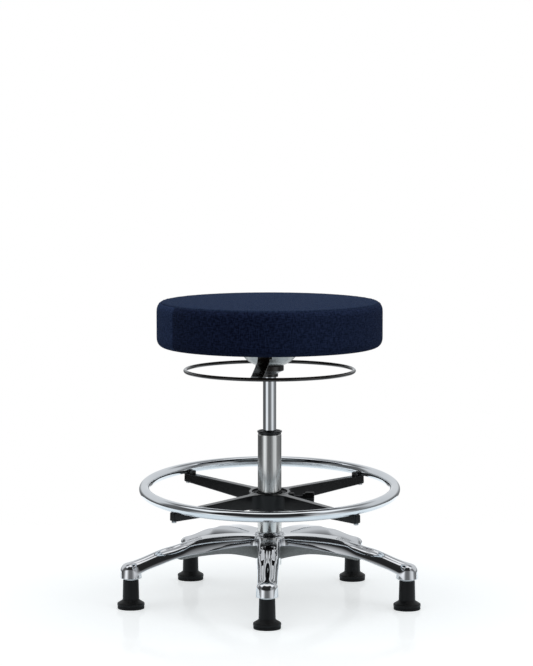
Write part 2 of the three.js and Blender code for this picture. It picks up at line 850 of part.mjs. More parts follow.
// Skin of the cover, set in by a distance: hem, rounded foot, drawn-in side, rounded top edge
// with its sewn groove, and the crown, from the hem to the axis.
function coverSkin(inset, groove) {
  const footCentre = SEAT_BOTTOM + SEAT.bottomRound;
  const topCentre = RIM_TOP - SEAT.topRound;
  const middle = SEAT.radius - SEAT.topRound;
  const topRound = SEAT.topRound - inset;
  const seamStart = SEAT.seamDeg - SEAT.seamSpreadDeg;
  const seamEnd = SEAT.seamDeg + SEAT.seamSpreadDeg;
  const foot = arcPoints(
    SEAT.radius - SEAT.bottomRound, footCentre, SEAT.bottomRound - inset, -90, 0,
    groove ? ARC_STEPS : ARC_STEPS - 1,
  );
  const stitched = arcPoints(
    middle, topCentre, topRound - SEAT.seamDepth, SEAT.seamDeg, SEAT.seamDeg, 1,
  );
  const crown = CROWN_SHARES.map(([out, up]) => [
    out * CROWN_RADIUS,
    RIM_TOP - inset + up * SEAT.crownRise,
  ]);
  return [
    [HEM_RADIUS, SEAT_BOTTOM + inset],
    ...foot,
    [SEAT.radius - SEAT.sideDraw - inset, (footCentre + topCentre) / 2],
    ...arcPoints(middle, topCentre, topRound, 0, seamStart, groove ? 2 : 1),
    ...(groove ? [stitched[0]] : []),
    ...arcPoints(middle, topCentre, topRound, seamEnd, 90, 1),
    ...crown,
  ];
}

function seatCover() {
  const outer = coverSkin(0, true);
  const inner = coverSkin(SEAT.coverThickness, false).reverse();
  return turned([...outer, ...inner], FINE_SIDES);
}

// The foam fills the cover down to the board's edge, with a skirt round the board.
function foamPad() {
  const inset = SEAT.coverThickness + SEAT.foamGap;
  const skin = coverSkin(inset, false).slice(1);
  const skirtInner = BOARD_RADIUS + FIT;
  const top = BOARD_TOP + FIT;
  return turned([[0, top], [skirtInner, top], [skirtInner, skin[0][1]], ...skin], FINE_SIDES);
}

function boltHoleTools(radius, bottom, top) {
  return boltPlaces().map(([x, y]) =>
    ringSolid(0, radius, bottom - OVERRUN, top, PIN_SIDES).translate(x, y, 0),
  );
}

function seatBoard() {
  const board = solid(ringSolid(0, BOARD_RADIUS, BOARD_BOTTOM, BOARD_TOP, FINE_SIDES));
  const throughTop = BOARD_TOP + OVERRUN;
  const barrels = boltHoleTools(SEAT.nutBarrelRadius + FIT, BOARD_BOTTOM, throughTop);
  const flangeFloor = BOARD_TOP - SEAT.nutFlangeThickness - 2 * FIT;
  const flanges = boltPlaces().map(([x, y]) =>
    ringSolid(0, SEAT.nutFlangeRadius + FIT, flangeFloor, throughTop, SMALL_SIDES)
      .translate(x, y, 0),
  );
  return geometryOf(cutFrom(board, [...barrels, ...flanges]));
}

function dustCover() {
  const top = SEAT_BOTTOM + SEAT.dustCoverThickness;
  const disc = solid(ringSolid(0, HEM_RADIUS - FIT, SEAT_BOTTOM, top, FINE_SIDES));
  const holes = boltHoleTools(MECH.boltRadius + 2 * FIT, SEAT_BOTTOM, top + OVERRUN);
  return geometryOf(cutFrom(disc, holes));
}

// A bolt from under the plate into its tee nut: six-sided head, round shank.
function plateBolt() {
  const headTop = PLATE_BOTTOM - FIT;
  const shankTop = BOARD_TOP - SEAT.nutFlangeThickness - FIT;
  const head = ringSolid(0, MECH.boltHeadRadius, headTop - MECH.boltHeadHeight, headTop, 6);
  const shankFoot = headTop - MECH.boltHeadHeight / 2;
  const shank = ringSolid(0, MECH.boltRadius, shankFoot, shankTop, PIN_SIDES);
  return geometryOf(joined([head, shank]));
}

function teeNut() {
  const flangeTop = BOARD_TOP - FIT;
  const flangeBottom = flangeTop - SEAT.nutFlangeThickness;
  const bore = MECH.boltRadius + FIT;
  return turned(
    [
      [bore, flangeBottom - SEAT.nutBarrelLength],
      [SEAT.nutBarrelRadius, flangeBottom - SEAT.nutBarrelLength],
      [SEAT.nutBarrelRadius, flangeBottom],
      [SEAT.nutFlangeRadius, flangeBottom],
      [SEAT.nutFlangeRadius, flangeTop],
      [bore, flangeTop],
    ],
    PIN_SIDES,
  );
}

function seatUnit() {
  const unit = new THREE.Group();
  unit.add(mesh("seat_cover", seatCover(), "navyCloth"));
  unit.add(mesh("foam_pad", foamPad(), "foam"));
  unit.add(mesh("seat_board", seatBoard(), "plywood"));
  unit.add(mesh("dust_cover", dustCover(), "blackCloth"));
  boltPlaces().forEach(([x, y], i) => {
    const bolt = mesh(`plate_bolt_${i + 1}`, plateBolt(), "steel");
    const nut = mesh(`tee_nut_${i + 1}`, teeNut(), "steel");
    bolt.position.set(x, y, 0);
    nut.position.set(x, y, 0);
    unit.add(bolt, nut);
  });
  return unit;
}

// The foot ring, modelled level about the middle of its hub and leaned as a whole

const HALF_HUB = RING.hubHeight / 2;
const HUB_BORE = RING.hubRadius - RING.hubWall;
const SLEEVE_OUTER = HUB_BORE - FIT;
const LEAN = THREE.MathUtils.degToRad(RING.leanDeg);
const SLEEVE_BORE = COLUMN.radius / Math.cos(LEAN) + HALF_HUB * Math.tan(LEAN) + FIT;
const ARM_TIP_TOP = RING.ringAboveMiddle - RING.tubeRadius - FIT;
const ARM_TIP_BOTTOM = ARM_TIP_TOP - RING.armDepthTip;
const ARM_TIP = RING.radius + RING.armPastRing;

function spiderTurn(i) {
  return azimuth(RING.armAzimuthDeg + (i * 360) / RING.armCount);
}

function spiderArm() {
  const root = HUB_BORE + RING.hubWall / 2;
  const land = ARM_TIP - RING.armTipLand;
  const side = uprightSlab(
    [
      [root, HALF_HUB - RING.armDepthHub],
      [land, ARM_TIP_BOTTOM],
      [ARM_TIP, ARM_TIP_BOTTOM],
      [ARM_TIP, ARM_TIP_TOP],
      [land, ARM_TIP_TOP],
      [root, HALF_HUB],
    ],
    RING.armHalfWidth,
  );
  const plan = new THREE.Shape();
  const endCentre = ARM_TIP - RING.armHalfWidth;
  plan.moveTo(root - OVERRUN, -RING.armHalfWidth - OVERRUN);
  plan.lineTo(endCentre, -RING.armHalfWidth - OVERRUN);
  plan.lineTo(endCentre, -RING.armHalfWidth);
  plan.absarc(endCentre, 0, RING.armHalfWidth, -Math.PI / 2, Math.PI / 2);
  plan.lineTo(endCentre, RING.armHalfWidth + OVERRUN);
  plan.lineTo(root - OVERRUN, RING.armHalfWidth + OVERRUN);
  const rounded = new THREE.ExtrudeGeometry(plan, {
    depth: RING.hubHeight * 2,
    bevelEnabled: false,
    curveSegments: ARC_STEPS * 2,
  }).translate(0, 0, -RING.hubHeight);
  const lugEnd = RING.radius - RING.tubeRadius - FIT;
  const lug = box(
    lugEnd - RING.lugLength, lugEnd, -RING.lugHalfWidth, RING.lugHalfWidth,
    ARM_TIP_TOP - OVERRUN, ARM_TIP_TOP + RING.lugHeight,
  );
  return solid(side).intersect(solid(rounded)).add(solid(lug));
}

function ringSpider() {
  let spider = solid(ringSolid(0, RING.hubRadius, -HALF_HUB, HALF_HUB, MEDIUM_SIDES));
  const arm = geometryOf(spiderArm());
  const cuts = [];
  for (let i = 0; i < RING.armCount; i++) {
    spider = spider.add(solid(arm.clone().rotateZ(spiderTurn(i))));
    const screwHole = ringSolid(
      0, RING.screwRadius + FIT, ARM_TIP_BOTTOM - OVERRUN, ARM_TIP_TOP + OVERRUN, PIN_SIDES,
    );
    cuts.push(screwHole.translate(RING.radius, 0, 0).rotateZ(spiderTurn(i)));
  }
  const clampTurn = azimuth(CLAMP.azimuthDeg);
  const bossStart = HUB_BORE + RING.hubWall / 2;
  const boss = crossPin(
    CLAMP.bossRadius, bossStart, CLAMP.bossEnd, CLAMP.aboveMiddle, SMALL_SIDES,
  );
  spider = spider.add(solid(boss.rotateZ(clampTurn)));
  cuts.push(ringSolid(0, HUB_BORE, -HALF_HUB - OVERRUN, HALF_HUB + OVERRUN, MEDIUM_SIDES));
  const studHole = crossPin(
    CLAMP.studRadius + FIT, SLEEVE_BORE, CLAMP.bossEnd + OVERRUN, CLAMP.aboveMiddle, PIN_SIDES,
  );
  const padRoom = crossPin(
    CLAMP.padRadius + FIT, SLEEVE_BORE, PAD_OUTER + CLAMP.travel + FIT, CLAMP.aboveMiddle,
    SMALL_SIDES,
  );
  cuts.push(studHole.rotateZ(clampTurn), padRoom.rotateZ(clampTurn));
  return geometryOf(cutFrom(spider, cuts));
}

const PAD_INNER = SLEEVE_OUTER + FIT;
const PAD_OUTER = PAD_INNER + CLAMP.padThickness;

function columnSleeve() {
  const top = HALF_HUB - RING.sleeveRecess;
  const sleeve = solid(ringSolid(SLEEVE_BORE, SLEEVE_OUTER, -HALF_HUB, top, MEDIUM_SIDES));
  const slot = box(
    -SLEEVE_OUTER - OVERRUN, 0, -RING.sleeveSlot / 2, RING.sleeveSlot / 2,
    -HALF_HUB - OVERRUN, top + OVERRUN,
  );
  return geometryOf(cutFrom(sleeve, [slot.rotateZ(azimuth(CLAMP.azimuthDeg))]));
}

// A hollow tube bent to a ring, drilled underneath for its four screws.
function footRing() {
  const tube = solid(
    new THREE.TorusGeometry(RING.radius, RING.tubeRadius, PIN_SIDES, RING_SIDES),
  );
  const hollow = new THREE.TorusGeometry(
    RING.radius, RING.tubeRadius - RING.tubeWall, PIN_SIDES / 2, RING_SIDES,
  );
  const drills = Array.from({ length: RING.armCount }, (_, i) =>
    ringSolid(0, RING.screwRadius + FIT, -RING.tubeRadius - OVERRUN, 0, PIN_SIDES)
      .translate(RING.radius, 0, 0)
      .rotateZ(spiderTurn(i)),
  );
  const geometry = geometryOf(cutFrom(tube, [hollow, ...drills]));
  return geometry.translate(0, 0, RING.ringAboveMiddle);
}

function ringScrew() {
  const headTop = ARM_TIP_BOTTOM - FIT;
  const tip = RING.ringAboveMiddle - RING.tubeRadius + RING.screwInTube;
  return turned(
    [
      [0, headTop - RING.screwHeadHeight],
      [RING.screwHeadRadius, headTop - RING.screwHeadHeight],
      [RING.screwHeadRadius, headTop],
      [RING.screwRadius, headTop],
      [RING.screwRadius, tip],
      [0, tip],
    ],
    PIN_SIDES,
  ).translate(RING.radius, 0, 0);
}

function clampKnob() {
  const outline = new THREE.Shape(
    Array.from({ length: CLAMP.knobLobes * LOBE_SIDES }, (_, i) => {
      const angle = (i * 2 * Math.PI) / (CLAMP.knobLobes * LOBE_SIDES);
      const dip = (1 - Math.cos(CLAMP.knobLobes * angle)) / 2;
      const radius = CLAMP.knobRadius - CLAMP.knobBevel - CLAMP.knobLobeDepth * dip;
      return new THREE.Vector2(radius * Math.cos(angle), radius * Math.sin(angle));
    }),
  );
  const grip = new THREE.ExtrudeGeometry(outline, {
    depth: CLAMP.knobLength - 2 * CLAMP.knobBevel,
    bevelThickness: CLAMP.knobBevel,
    bevelSize: CLAMP.knobBevel,
    bevelSegments: 1,
  })
    .translate(0, 0, CLAMP.knobStart + CLAMP.knobBevel)
    .rotateY(Math.PI / 2);
  const collarStart = CLAMP.knobStart - CLAMP.collarLength;
  const collarEnd = CLAMP.knobStart + CLAMP.knobLength / 2;
  const collar = crossPin(CLAMP.collarRadius, collarStart, collarEnd, 0, SMALL_SIDES);
  const boreEnd = CLAMP.knobStart + CLAMP.boreDepth;
  const bore = crossPin(
    CLAMP.studRadius + FIT, collarStart - OVERRUN, boreEnd, 0, PIN_SIDES,
  );
  return geometryOf(cutFrom(joined([grip, collar]), [bore]));
}

function clampUnit() {
  const studEnd = CLAMP.knobStart + CLAMP.boreDepth - FIT;
  const unit = new THREE.Group();
  unit.rotation.z = azimuth(CLAMP.azimuthDeg);
  unit.position.z = CLAMP.aboveMiddle;
  unit.add(mesh("clamp_knob", clampKnob(), "blackPlastic"));
  unit.add(
    mesh("clamp_stud", crossPin(CLAMP.studRadius, PAD_OUTER + FIT, studEnd, 0, PIN_SIDES), "steel"),
  );
  unit.add(
    mesh("pressure_pad", crossPin(CLAMP.padRadius, PAD_INNER, PAD_OUTER, 0, SMALL_SIDES), "steel"),
  );
  return unit;
}

function footRingUnit() {
  const unit = new THREE.Group();
  unit.position.z = RING.hubMiddle;
  unit.rotation.x = LEAN;
  unit.add(mesh("foot_ring", footRing(), "chrome"));
  unit.add(mesh("ring_spider", ringSpider(), "blackPaint"));
  unit.add(mesh("column_sleeve", columnSleeve(), "blackPlastic"));
  for (let i = 0; i < RING.armCount; i++) {
    const screw = mesh(`ring_screw_${i + 1}`, ringScrew(), "steel");
    screw.rotation.z = spiderTurn(i);
    unit.add(screw);
  }
  unit.add(clampUnit());
  return unit;
}

// The whole stool, first about the column axis. The front arm reaches further forward than the
// two rear arms reach back, so the middle of the footprint lies in front of that axis.
const stool = new THREE.Group();
stool.add(starBase());
stool.add(glides());
stool.add(columnUnit());
stool.add(bearingStack());
stool.add(gasSpring());
stool.add(liftMechanism());
stool.add(releaseUnit());
stool.add(seatUnit());
stool.add(footRingUnit());

const extent = new THREE.Box3().setFromObject(stool, true);
const footprint = extent.getCenter(new THREE.Vector3());
stool.position.set(-footprint.x, -footprint.y, 0);

const part = new THREE.Group();
part.add(stool);

export default part;
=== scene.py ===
import math

import bmesh
import bpy
import numpy as np
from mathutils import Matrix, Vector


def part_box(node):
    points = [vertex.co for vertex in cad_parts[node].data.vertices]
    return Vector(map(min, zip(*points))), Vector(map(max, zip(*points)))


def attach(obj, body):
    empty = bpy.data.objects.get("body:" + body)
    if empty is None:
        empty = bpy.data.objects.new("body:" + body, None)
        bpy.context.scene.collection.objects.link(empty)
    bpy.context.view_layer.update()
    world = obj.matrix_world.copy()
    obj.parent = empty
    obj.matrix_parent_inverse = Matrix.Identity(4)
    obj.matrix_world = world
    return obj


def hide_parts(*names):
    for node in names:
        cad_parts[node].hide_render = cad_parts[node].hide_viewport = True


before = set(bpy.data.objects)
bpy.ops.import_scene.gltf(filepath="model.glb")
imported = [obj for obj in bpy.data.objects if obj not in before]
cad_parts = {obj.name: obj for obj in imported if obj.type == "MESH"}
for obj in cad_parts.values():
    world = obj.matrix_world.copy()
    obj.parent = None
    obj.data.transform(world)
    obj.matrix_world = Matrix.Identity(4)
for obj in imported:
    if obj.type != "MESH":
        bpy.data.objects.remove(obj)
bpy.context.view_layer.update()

# Star base: one aluminium casting, five arched arms round a hub that the column is pressed into.
# Its upper side is ground and mirror polished, its ribbed underside is left as it was cast.

low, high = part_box("column_tube")
AXIS = np.array([(low.x + high.x) / 2, (low.y + high.y) / 2, 0.0])  # the column's axis, in metres

# Other sizes are in mm about the axis, and azimuths in degrees from the front to the right. An arm
# has a frame of its own, with x out along it and y across it.
ARM_COUNT, ARM_AZIMUTH = 5, -1.0
HALF_SECTOR = 180 / ARM_COUNT  # degrees from the middle of an arm to the crotch beside it
HUB_RADIUS, HUB_BORE, HUB_FOOT, HUB_TOP = 29.0, 25.3, 92.0, 148.0
HUB_FILLET, HUB_CROWN, HUB_BEVEL = 6.0, 1.0, 0.6
ARM_HALF, ARM_REACH, NOSE_RADIUS, CROTCH_RADIUS = 25.0, 302.6, 23.0, 12.0
CROTCH_Y = ARM_HALF + CROTCH_RADIUS  # centre of the fillet between two arms
CROTCH_X = round(CROTCH_Y / math.tan(math.radians(HALF_SECTOR)), 2)
ARM_END = ARM_REACH + NOSE_RADIUS
HUB_BLEND = (60.0, 95.0)  # where the crest's height turns from the distance to x

# The notch in the arm's top: its round head, its spreading legs, and the pad's soft edge beside it.
NOTCH_CENTRE, NOTCH_RADIUS, NOTCH_SPREAD, PAD_EDGE = 162.0, 14.0, 0.19, 3.0
PAD_FADES = (165.0, 202.0)  # where the pad runs out beside the legs
# In the notch, depths under the crest: the elliptical ridge in its middle and the flanks beside it.
RIDGE_DROP, RIDGE_RISE, RIDGE_CORNER = 1.2, 5.0, 0.8
RIDGE_HALF, RIDGE_WIDENS, RIDGE_WIDENING = 7.2, 2.2, (200.0, 290.0)
RIDGE_SIDE = 4.0  # slope of the ridge's foot
VALLEY_DROP, FLANK_SLOPE = 5.0, 0.42
HEAD_SHARE, DEEPENS, SHALLOWS = 0.25, (150.0, 232.0), (286.0, 318.0)  # of those depths, outwards

# The side of an arm bends down by SIDE_TURN degrees. The nose's side falls less, turns further and
# ends in a wall that leans out.
SIDE_TURN, NOSE_TURN, NOSE_FALL, NOSE_DRAFT, NOSE_STARTS = 80.0, 87.0, 10.5, 1.2, (288.0, 306.0)
LEAST_WALL, EDGE_BEVEL = 1.6, 1.2
# Underside: a rib with a channel in it, which both run out before the nose.
RIB_SIDE, RIB_ROOT, RIB_DRAFT, RIB_BEVEL, RIB_ENDS = 15.0, 2.0, 0.3, 0.8, (196.0, 214.0)
CHANNEL_SIDE, CHANNEL_BEVEL, CHANNEL_DRAFT, CHANNEL_DEPTH = 9.0, 0.4, 0.6, 13.0
CHANNEL_STARTS, CHANNEL_ENDS, CHANNEL_ROOF = (46.0, 51.0), (180.0, 192.0), 114.0
ROOT_RISE, BEVEL_RISE = 0.4, 0.7

# Along the arm: half width, height of the crest, of the lower edge and of the rib's foot, and how
# far in from the outline its convex side begins.
WIDTH = np.array([(CROTCH_X, ARM_HALF), (120, ARM_HALF), (160, 24.3), (193, 23), (232, 21.3),
                  (270, 20.7), (285, 21.2), (295, 22.3), (ARM_REACH, NOSE_RADIUS)]).T
CREST = np.array([(30, 142), (77, 145), (112, 144.8), (148, 141.9), (193, 133), (209, 129),
                  (235, 123), (277, 107.5), (310, 96), (ARM_END, 90)]).T
LOWER = np.array([(65, 122.7), (101, 119.7), (149, 113.4), (209, 103.7), (245, 91.6), (277, 80.3),
                  (290, 74), (298, 68), (ARM_REACH, 64.5)]).T
RIB = np.array([(29, 92.7), (53, 99.2), (89, 106), (113, 107), (157, 104.5), (205, 98.5), (230, 96)]).T
ROUND = np.array([(40, 6), (100, 8), (150, 8.5), (250, 8.5), (285, 10), (ARM_REACH, 12.5), (326, 12.5)]).T

BEND_ROWS, ARM_ROWS = 15, 141  # of the mesh: round the crotch and the nose, and along the arm
ROWS_EVEN, ROWS_CLOSER = (0, 0.26, 0.74, 1), (0, 0.322, 0.696, 1)  # closer round the notch
FLAT_COLUMNS, ROUND_COLUMNS, WALL_COLUMNS = 25, 14, 7


def through(x, knots, values):
    """Smooth curve through the values at the knots: cubic pieces whose slope at a knot is the mean
    of its two chords. Outside the knots the end values hold. values may carry further axes."""
    knots, values, x = np.asarray(knots, float), np.asarray(values, float), np.asarray(x, float)
    more = (...,) + (None,) * (values.ndim - 1)
    chord = np.diff(values, axis=0) / np.diff(knots)[more]
    slope = np.concatenate([chord[:1], (chord[1:] + chord[:-1]) / 2, chord[-1:]])
    i = np.clip(np.searchsorted(knots, x) - 1, 0, len(knots) - 2)
    h = knots[i + 1] - knots[i]
    t = np.clip((x - knots[i]) / h, 0, 1)[more]
    h = h[more]
    return ((1 + 2 * t) * (1 - t) ** 2 * values[i] + t * (1 - t) ** 2 * h * slope[i]
            + t * t * (3 - 2 * t) * values[i + 1] + t * t * (t - 1) * h * slope[i + 1])


def step(x, start, end):
    """0 before start, 1 after end, and a smooth cubic between them."""
    t = np.clip((x - start) / (end - start), 0, 1)
    return t * t * (3 - 2 * t)


def smooth_max(a, b, width):
    """The larger of a and b, with the corner between them rounded over about width."""
    return (a + b + np.sqrt((a - b) ** 2 + width**2)) / 2


def grid(rows, columns, wrap_rows=False, wrap_columns=False):
    """Quads between neighbouring points of a grid; a wrapped side joins its last line to its first."""
    r, c = np.arange(rows - (not wrap_rows)), np.arange(columns - (not wrap_columns))
    r, c = np.meshgrid(r, c, indexing="ij")
    r2, c2 = (r + 1) % rows, (c + 1) % columns
    quads = [r * columns + c, r * columns + c2, r2 * columns + c2, r2 * columns + c]
    return np.stack(quads, -1).reshape(-1, 4)


def turned(points, degrees):
    """Points turned about the column's axis."""
    a = math.radians(degrees)
    return points @ np.array([[math.cos(a), math.sin(a), 0], [-math.sin(a), math.cos(a), 0], [0, 0, 1]])


def make(name, shells, body, slot, finish, nodes=(), sharp=35.0, uvs=None, **values):
    """One mesh object from shells of (points in mm about the axis, blocks of faces). Points closer
    than 0.01 mm are merged, faces turned out, and edges over sharp degrees stay sharp. values are
    numbers for each point, which the material reads as attributes."""
    starts = np.cumsum([0] + [len(points) for points, _ in shells])
    faces = []
    for start, (_, blocks) in zip(starts, shells):
        for block in blocks:
            faces += (block + start).tolist()
    mesh = bpy.data.meshes.new(name)
    mesh.from_pydata((np.concatenate([p for p, _ in shells]) / 1000 + AXIS).tolist(), [], faces)
    for key, value in values.items():
        flat = np.asarray(value, np.float32).ravel()
        mesh.attributes.new(key, "FLOAT", "POINT").data.foreach_set("value", flat)
    if uvs is not None:
        flat = np.asarray(uvs, np.float32).ravel()
        mesh.uv_layers.new(name="cut").data.foreach_set("uv", flat)
    solid = bmesh.new()
    solid.from_mesh(mesh)
    bmesh.ops.remove_doubles(solid, verts=solid.verts, dist=1e-5)
    bmesh.ops.recalc_face_normals(solid, faces=solid.faces)
    solid.to_mesh(mesh)
    solid.free()
    mesh.shade_smooth()
    mesh.set_sharp_from_angle(angle=math.radians(sharp))
    mesh.materials.append(finish)
    piece = bpy.data.objects.new(name, mesh)
    bpy.context.scene.collection.objects.link(piece)
    piece.modifiers.new("weighted_normals", "WEIGHTED_NORMAL").keep_sharp = True
    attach(piece, body)
    if nodes:
        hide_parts(*nodes)
    return piece


class Socket:
    """A node's output used as a number in an expression: + - * and / on it add Math nodes."""

    def __init__(self, tree, output=None):
        self.tree, self.output = tree, output

    def node(self, kind, settings=None, inputs=None, output=0):
        """Any node: its settings first, among them a ramp's stops, then its inputs' values or links."""
        made = self.tree.nodes.new(kind)
        for key, value in (settings or {}).items():
            if key == "stops":
                while len(made.color_ramp.elements) < len(value):
                    made.color_ramp.elements.new(1.0)
                for element, (place, colour) in zip(made.color_ramp.elements, value):
                    element.position, element.color = place, colour
            else:
                setattr(made, key, value)
        for key, value in (inputs or {}).items():
            if isinstance(value, Socket):
                self.tree.links.new(value.output, made.inputs[key])
            else:
                made.inputs[key].default_value = value
        return Socket(self.tree, made.outputs[output])

    def math(self, operation, *values):
        return self.node("ShaderNodeMath", {"operation": operation}, dict(enumerate(values)))

    def __add__(self, other):
        return self.math("ADD", self, other)

    def __sub__(self, other):
        return self.math("SUBTRACT", self, other)

    def __rsub__(self, other):
        return self.math("SUBTRACT", other, self)

    def __mul__(self, other):
        return self.math("MULTIPLY", self, other)

    def __truediv__(self, other):
        return self.math("DIVIDE", self, other)

    __radd__, __rmul__ = __add__, __mul__

    def between(self, start, end):
        """0 at start and 1 at end, straight between them and held outside."""
        return self.node("ShaderNodeMapRange", {}, {0: self, 1: start, 2: end})

    def mix(self, first, second):
        """The first colour where self is 0, the second where it is 1."""
        return self.node("ShaderNodeMix", {"data_type": "RGBA"}, {0: self, 6: first, 7: second}, 2)

    def times(self, scale):
        """Self as a vector, times another."""
        return self.node("ShaderNodeVectorMath", {"operation": "MULTIPLY"}, {0: self, 1: scale})

    def part(self, axis):
        """The X, Y or Z of self as a vector."""
        return self.node("ShaderNodeSeparateXYZ", {}, {0: self}, axis)

    def place(self, scale=(1.0, 1.0, 1.0)):
        """The surface's own place in metres, times scale, which stretches what is drawn with it."""
        return self.node("ShaderNodeTexCoord", output="Object").times(scale)

    def noise(self, where, scale, detail=2.0):
        return self.node("ShaderNodeTexNoise", {}, {"Vector": where, "Scale": scale, "Detail": detail})

    def attribute(self, name):
        return self.node("ShaderNodeAttribute", {"attribute_name": name}, {}, "Fac")

    def bump(self, distance, strength=1.0):
        """A normal from self as a height, times distance in metres."""
        return self.node("ShaderNodeBump", {}, {"Height": self, "Distance": distance, "Strength": strength})

    def into(self, shader, name):
        self.tree.links.new(self.output, shader.inputs[name])


def material(name, constants):
    """A material whose Principled shader has these constant sockets; returns it, the shader and an
    empty Socket to start expressions from."""
    made = bpy.data.materials.new(name)
    made.use_nodes = True
    shader = made.node_tree.nodes["Principled BSDF"]
    for key, value in constants.items():
        shader.inputs[key].default_value = value
    return made, shader, Socket(made.node_tree)


def arm_height(x, y):
    """Height of the casting's upper side in one arm's frame: a flat pad at the crest's height, cut
    by an arched notch. In the notch an elliptical ridge between lower flanks runs out to the tip,
    deeper under the crest as it goes. Near the hub a fillet lifts the top to the hub's."""
    rho = np.hypot(x, y)
    far = step(rho, *HUB_BLEND)
    crest = through(rho * (1 - far) + x * far, *CREST)
    half = RIDGE_HALF + RIDGE_WIDENS * step(x, *RIDGE_WIDENING)
    past = np.abs(y) - half
    round_drop = RIDGE_RISE * (1 - np.sqrt(np.maximum(1 - (y / half) ** 2, 0)))
    ridge = RIDGE_DROP + round_drop + RIDGE_SIDE * np.maximum(past, 0)
    flank = VALLEY_DROP + FLANK_SLOPE * past
    deep = (HEAD_SHARE + (1 - HEAD_SHARE) * step(x, *DEEPENS)) * (1 - step(x, *SHALLOWS))
    notched = crest + smooth_max(-flank, -ridge, RIDGE_CORNER) * deep
    head = np.hypot(x - NOTCH_CENTRE, y) - NOTCH_RADIUS
    legs = np.abs(y) - NOTCH_RADIUS - NOTCH_SPREAD * (x - NOTCH_CENTRE)
    outside = np.where(x < NOTCH_CENTRE, head, legs)
    pad = step(outside, -PAD_EDGE, PAD_EDGE) * (1 - step(x, *PAD_FADES))
    rise = np.clip(HUB_RADIUS + HUB_FILLET - rho, 0, HUB_FILLET)
    return notched + (crest - notched) * pad + HUB_FILLET - np.sqrt(HUB_FILLET**2 - rise**2)


def sector_lines():
    """Plan of half an arm, from the middle of the crotch to the tip: an inner line (hub circle, then
    centreline), the outline, the distance between them row by row, and the crotch rows' angles."""
    u, v = np.linspace(0, 1, BEND_ROWS)[:-1], np.linspace(0, 1, BEND_ROWS)
    s = np.interp(np.linspace(0, 1, ARM_ROWS)[:-1], ROWS_EVEN, ROWS_CLOSER)
    bend = np.radians(180 + HALF_SECTOR + (90 - HALF_SECTOR) * u)
    hub_turn, nose = np.radians(HALF_SECTOR * (1 - u)), np.radians(90 * (1 - v))
    reach = CROTCH_X + (ARM_REACH - CROTCH_X) * s
    outer = np.concatenate([
        np.stack([CROTCH_X + CROTCH_RADIUS * np.cos(bend), CROTCH_Y + CROTCH_RADIUS * np.sin(bend)], -1),
        np.stack([reach, through(reach, *WIDTH)], -1),
        np.stack([ARM_REACH + NOSE_RADIUS * np.cos(nose), NOSE_RADIUS * np.sin(nose)], -1)])
    inner = np.concatenate([
        HUB_RADIUS * np.stack([np.cos(hub_turn), np.sin(hub_turn)], -1),
        np.stack([HUB_RADIUS + (ARM_REACH - HUB_RADIUS) * s, 0 * s], -1),
        np.stack([ARM_REACH + 6 * v, 0 * v], -1)])
    x = inner[:, 0]
    crotch = np.minimum(np.hypot(x - CROTCH_X, inner[:, 1] - CROTCH_Y) - CROTCH_RADIUS, 40)
    tip = NOSE_RADIUS - np.hypot(x - ARM_REACH, inner[:, 1])
    depth = np.where(x < CROTCH_X, crotch, np.where(x <= ARM_REACH, through(x, *WIDTH), tip))
    return inner, outer, depth, np.concatenate([[0], hub_turn[::-1]])[::-1]


def upper_side(inner, outer, depth, low_z):
    """The top, the convex side and the wall below it. Columns are even up to where the edge starts
    to round, and then at even angles of an ellipse: it falls nearly to the lower edge, but only
    round the top of the nose. The wall ends in a small bevel."""
    radius = through(outer[:, 0], *ROUND)
    flat = depth[:, None] + (radius - depth)[:, None] * np.linspace(0, 1, FLAT_COLUMNS)[:-1]
    nose_share = step(outer[:, 0], *NOSE_STARTS)[:, None]
    bend = np.radians(SIDE_TURN + (NOSE_TURN - SIDE_TURN) * nose_share) * np.linspace(0, 1, ROUND_COLUMNS)
    lean = NOSE_DRAFT * nose_share
    edge = radius[:, None] - (radius[:, None] - lean) * np.sin(bend) / np.sin(bend[:, -1:])
    inset = np.concatenate([flat, edge], 1)
    across = (outer - inner)[:, None]
    plan = inner[:, None] + across * (1 - inset / depth[:, None])[..., None]
    whole = arm_height(outer[:, 0], outer[:, 1]) - low_z - LEAST_WALL
    fall = whole + (NOSE_FALL - whole) * nose_share[:, 0]
    share = np.concatenate([0 * flat, (1 - np.cos(bend)) / (1 - np.cos(bend[:, -1:]))], 1)
    top_z = arm_height(plan[..., 0], plan[..., 1]) - fall[:, None] * share
    down = np.linspace(0, 1, WALL_COLUMNS)[1:]
    wall_z = top_z[:, -1:] + (low_z + EDGE_BEVEL - top_z[:, -1])[:, None] * down
    wall = inner[:, None] + across * (1 - lean * (1 - down) / depth[:, None])[..., None]
    plan, level = np.concatenate([plan, wall], 1), np.concatenate([top_z, wall_z], 1)
    return np.concatenate([plan, level[..., None]], -1)


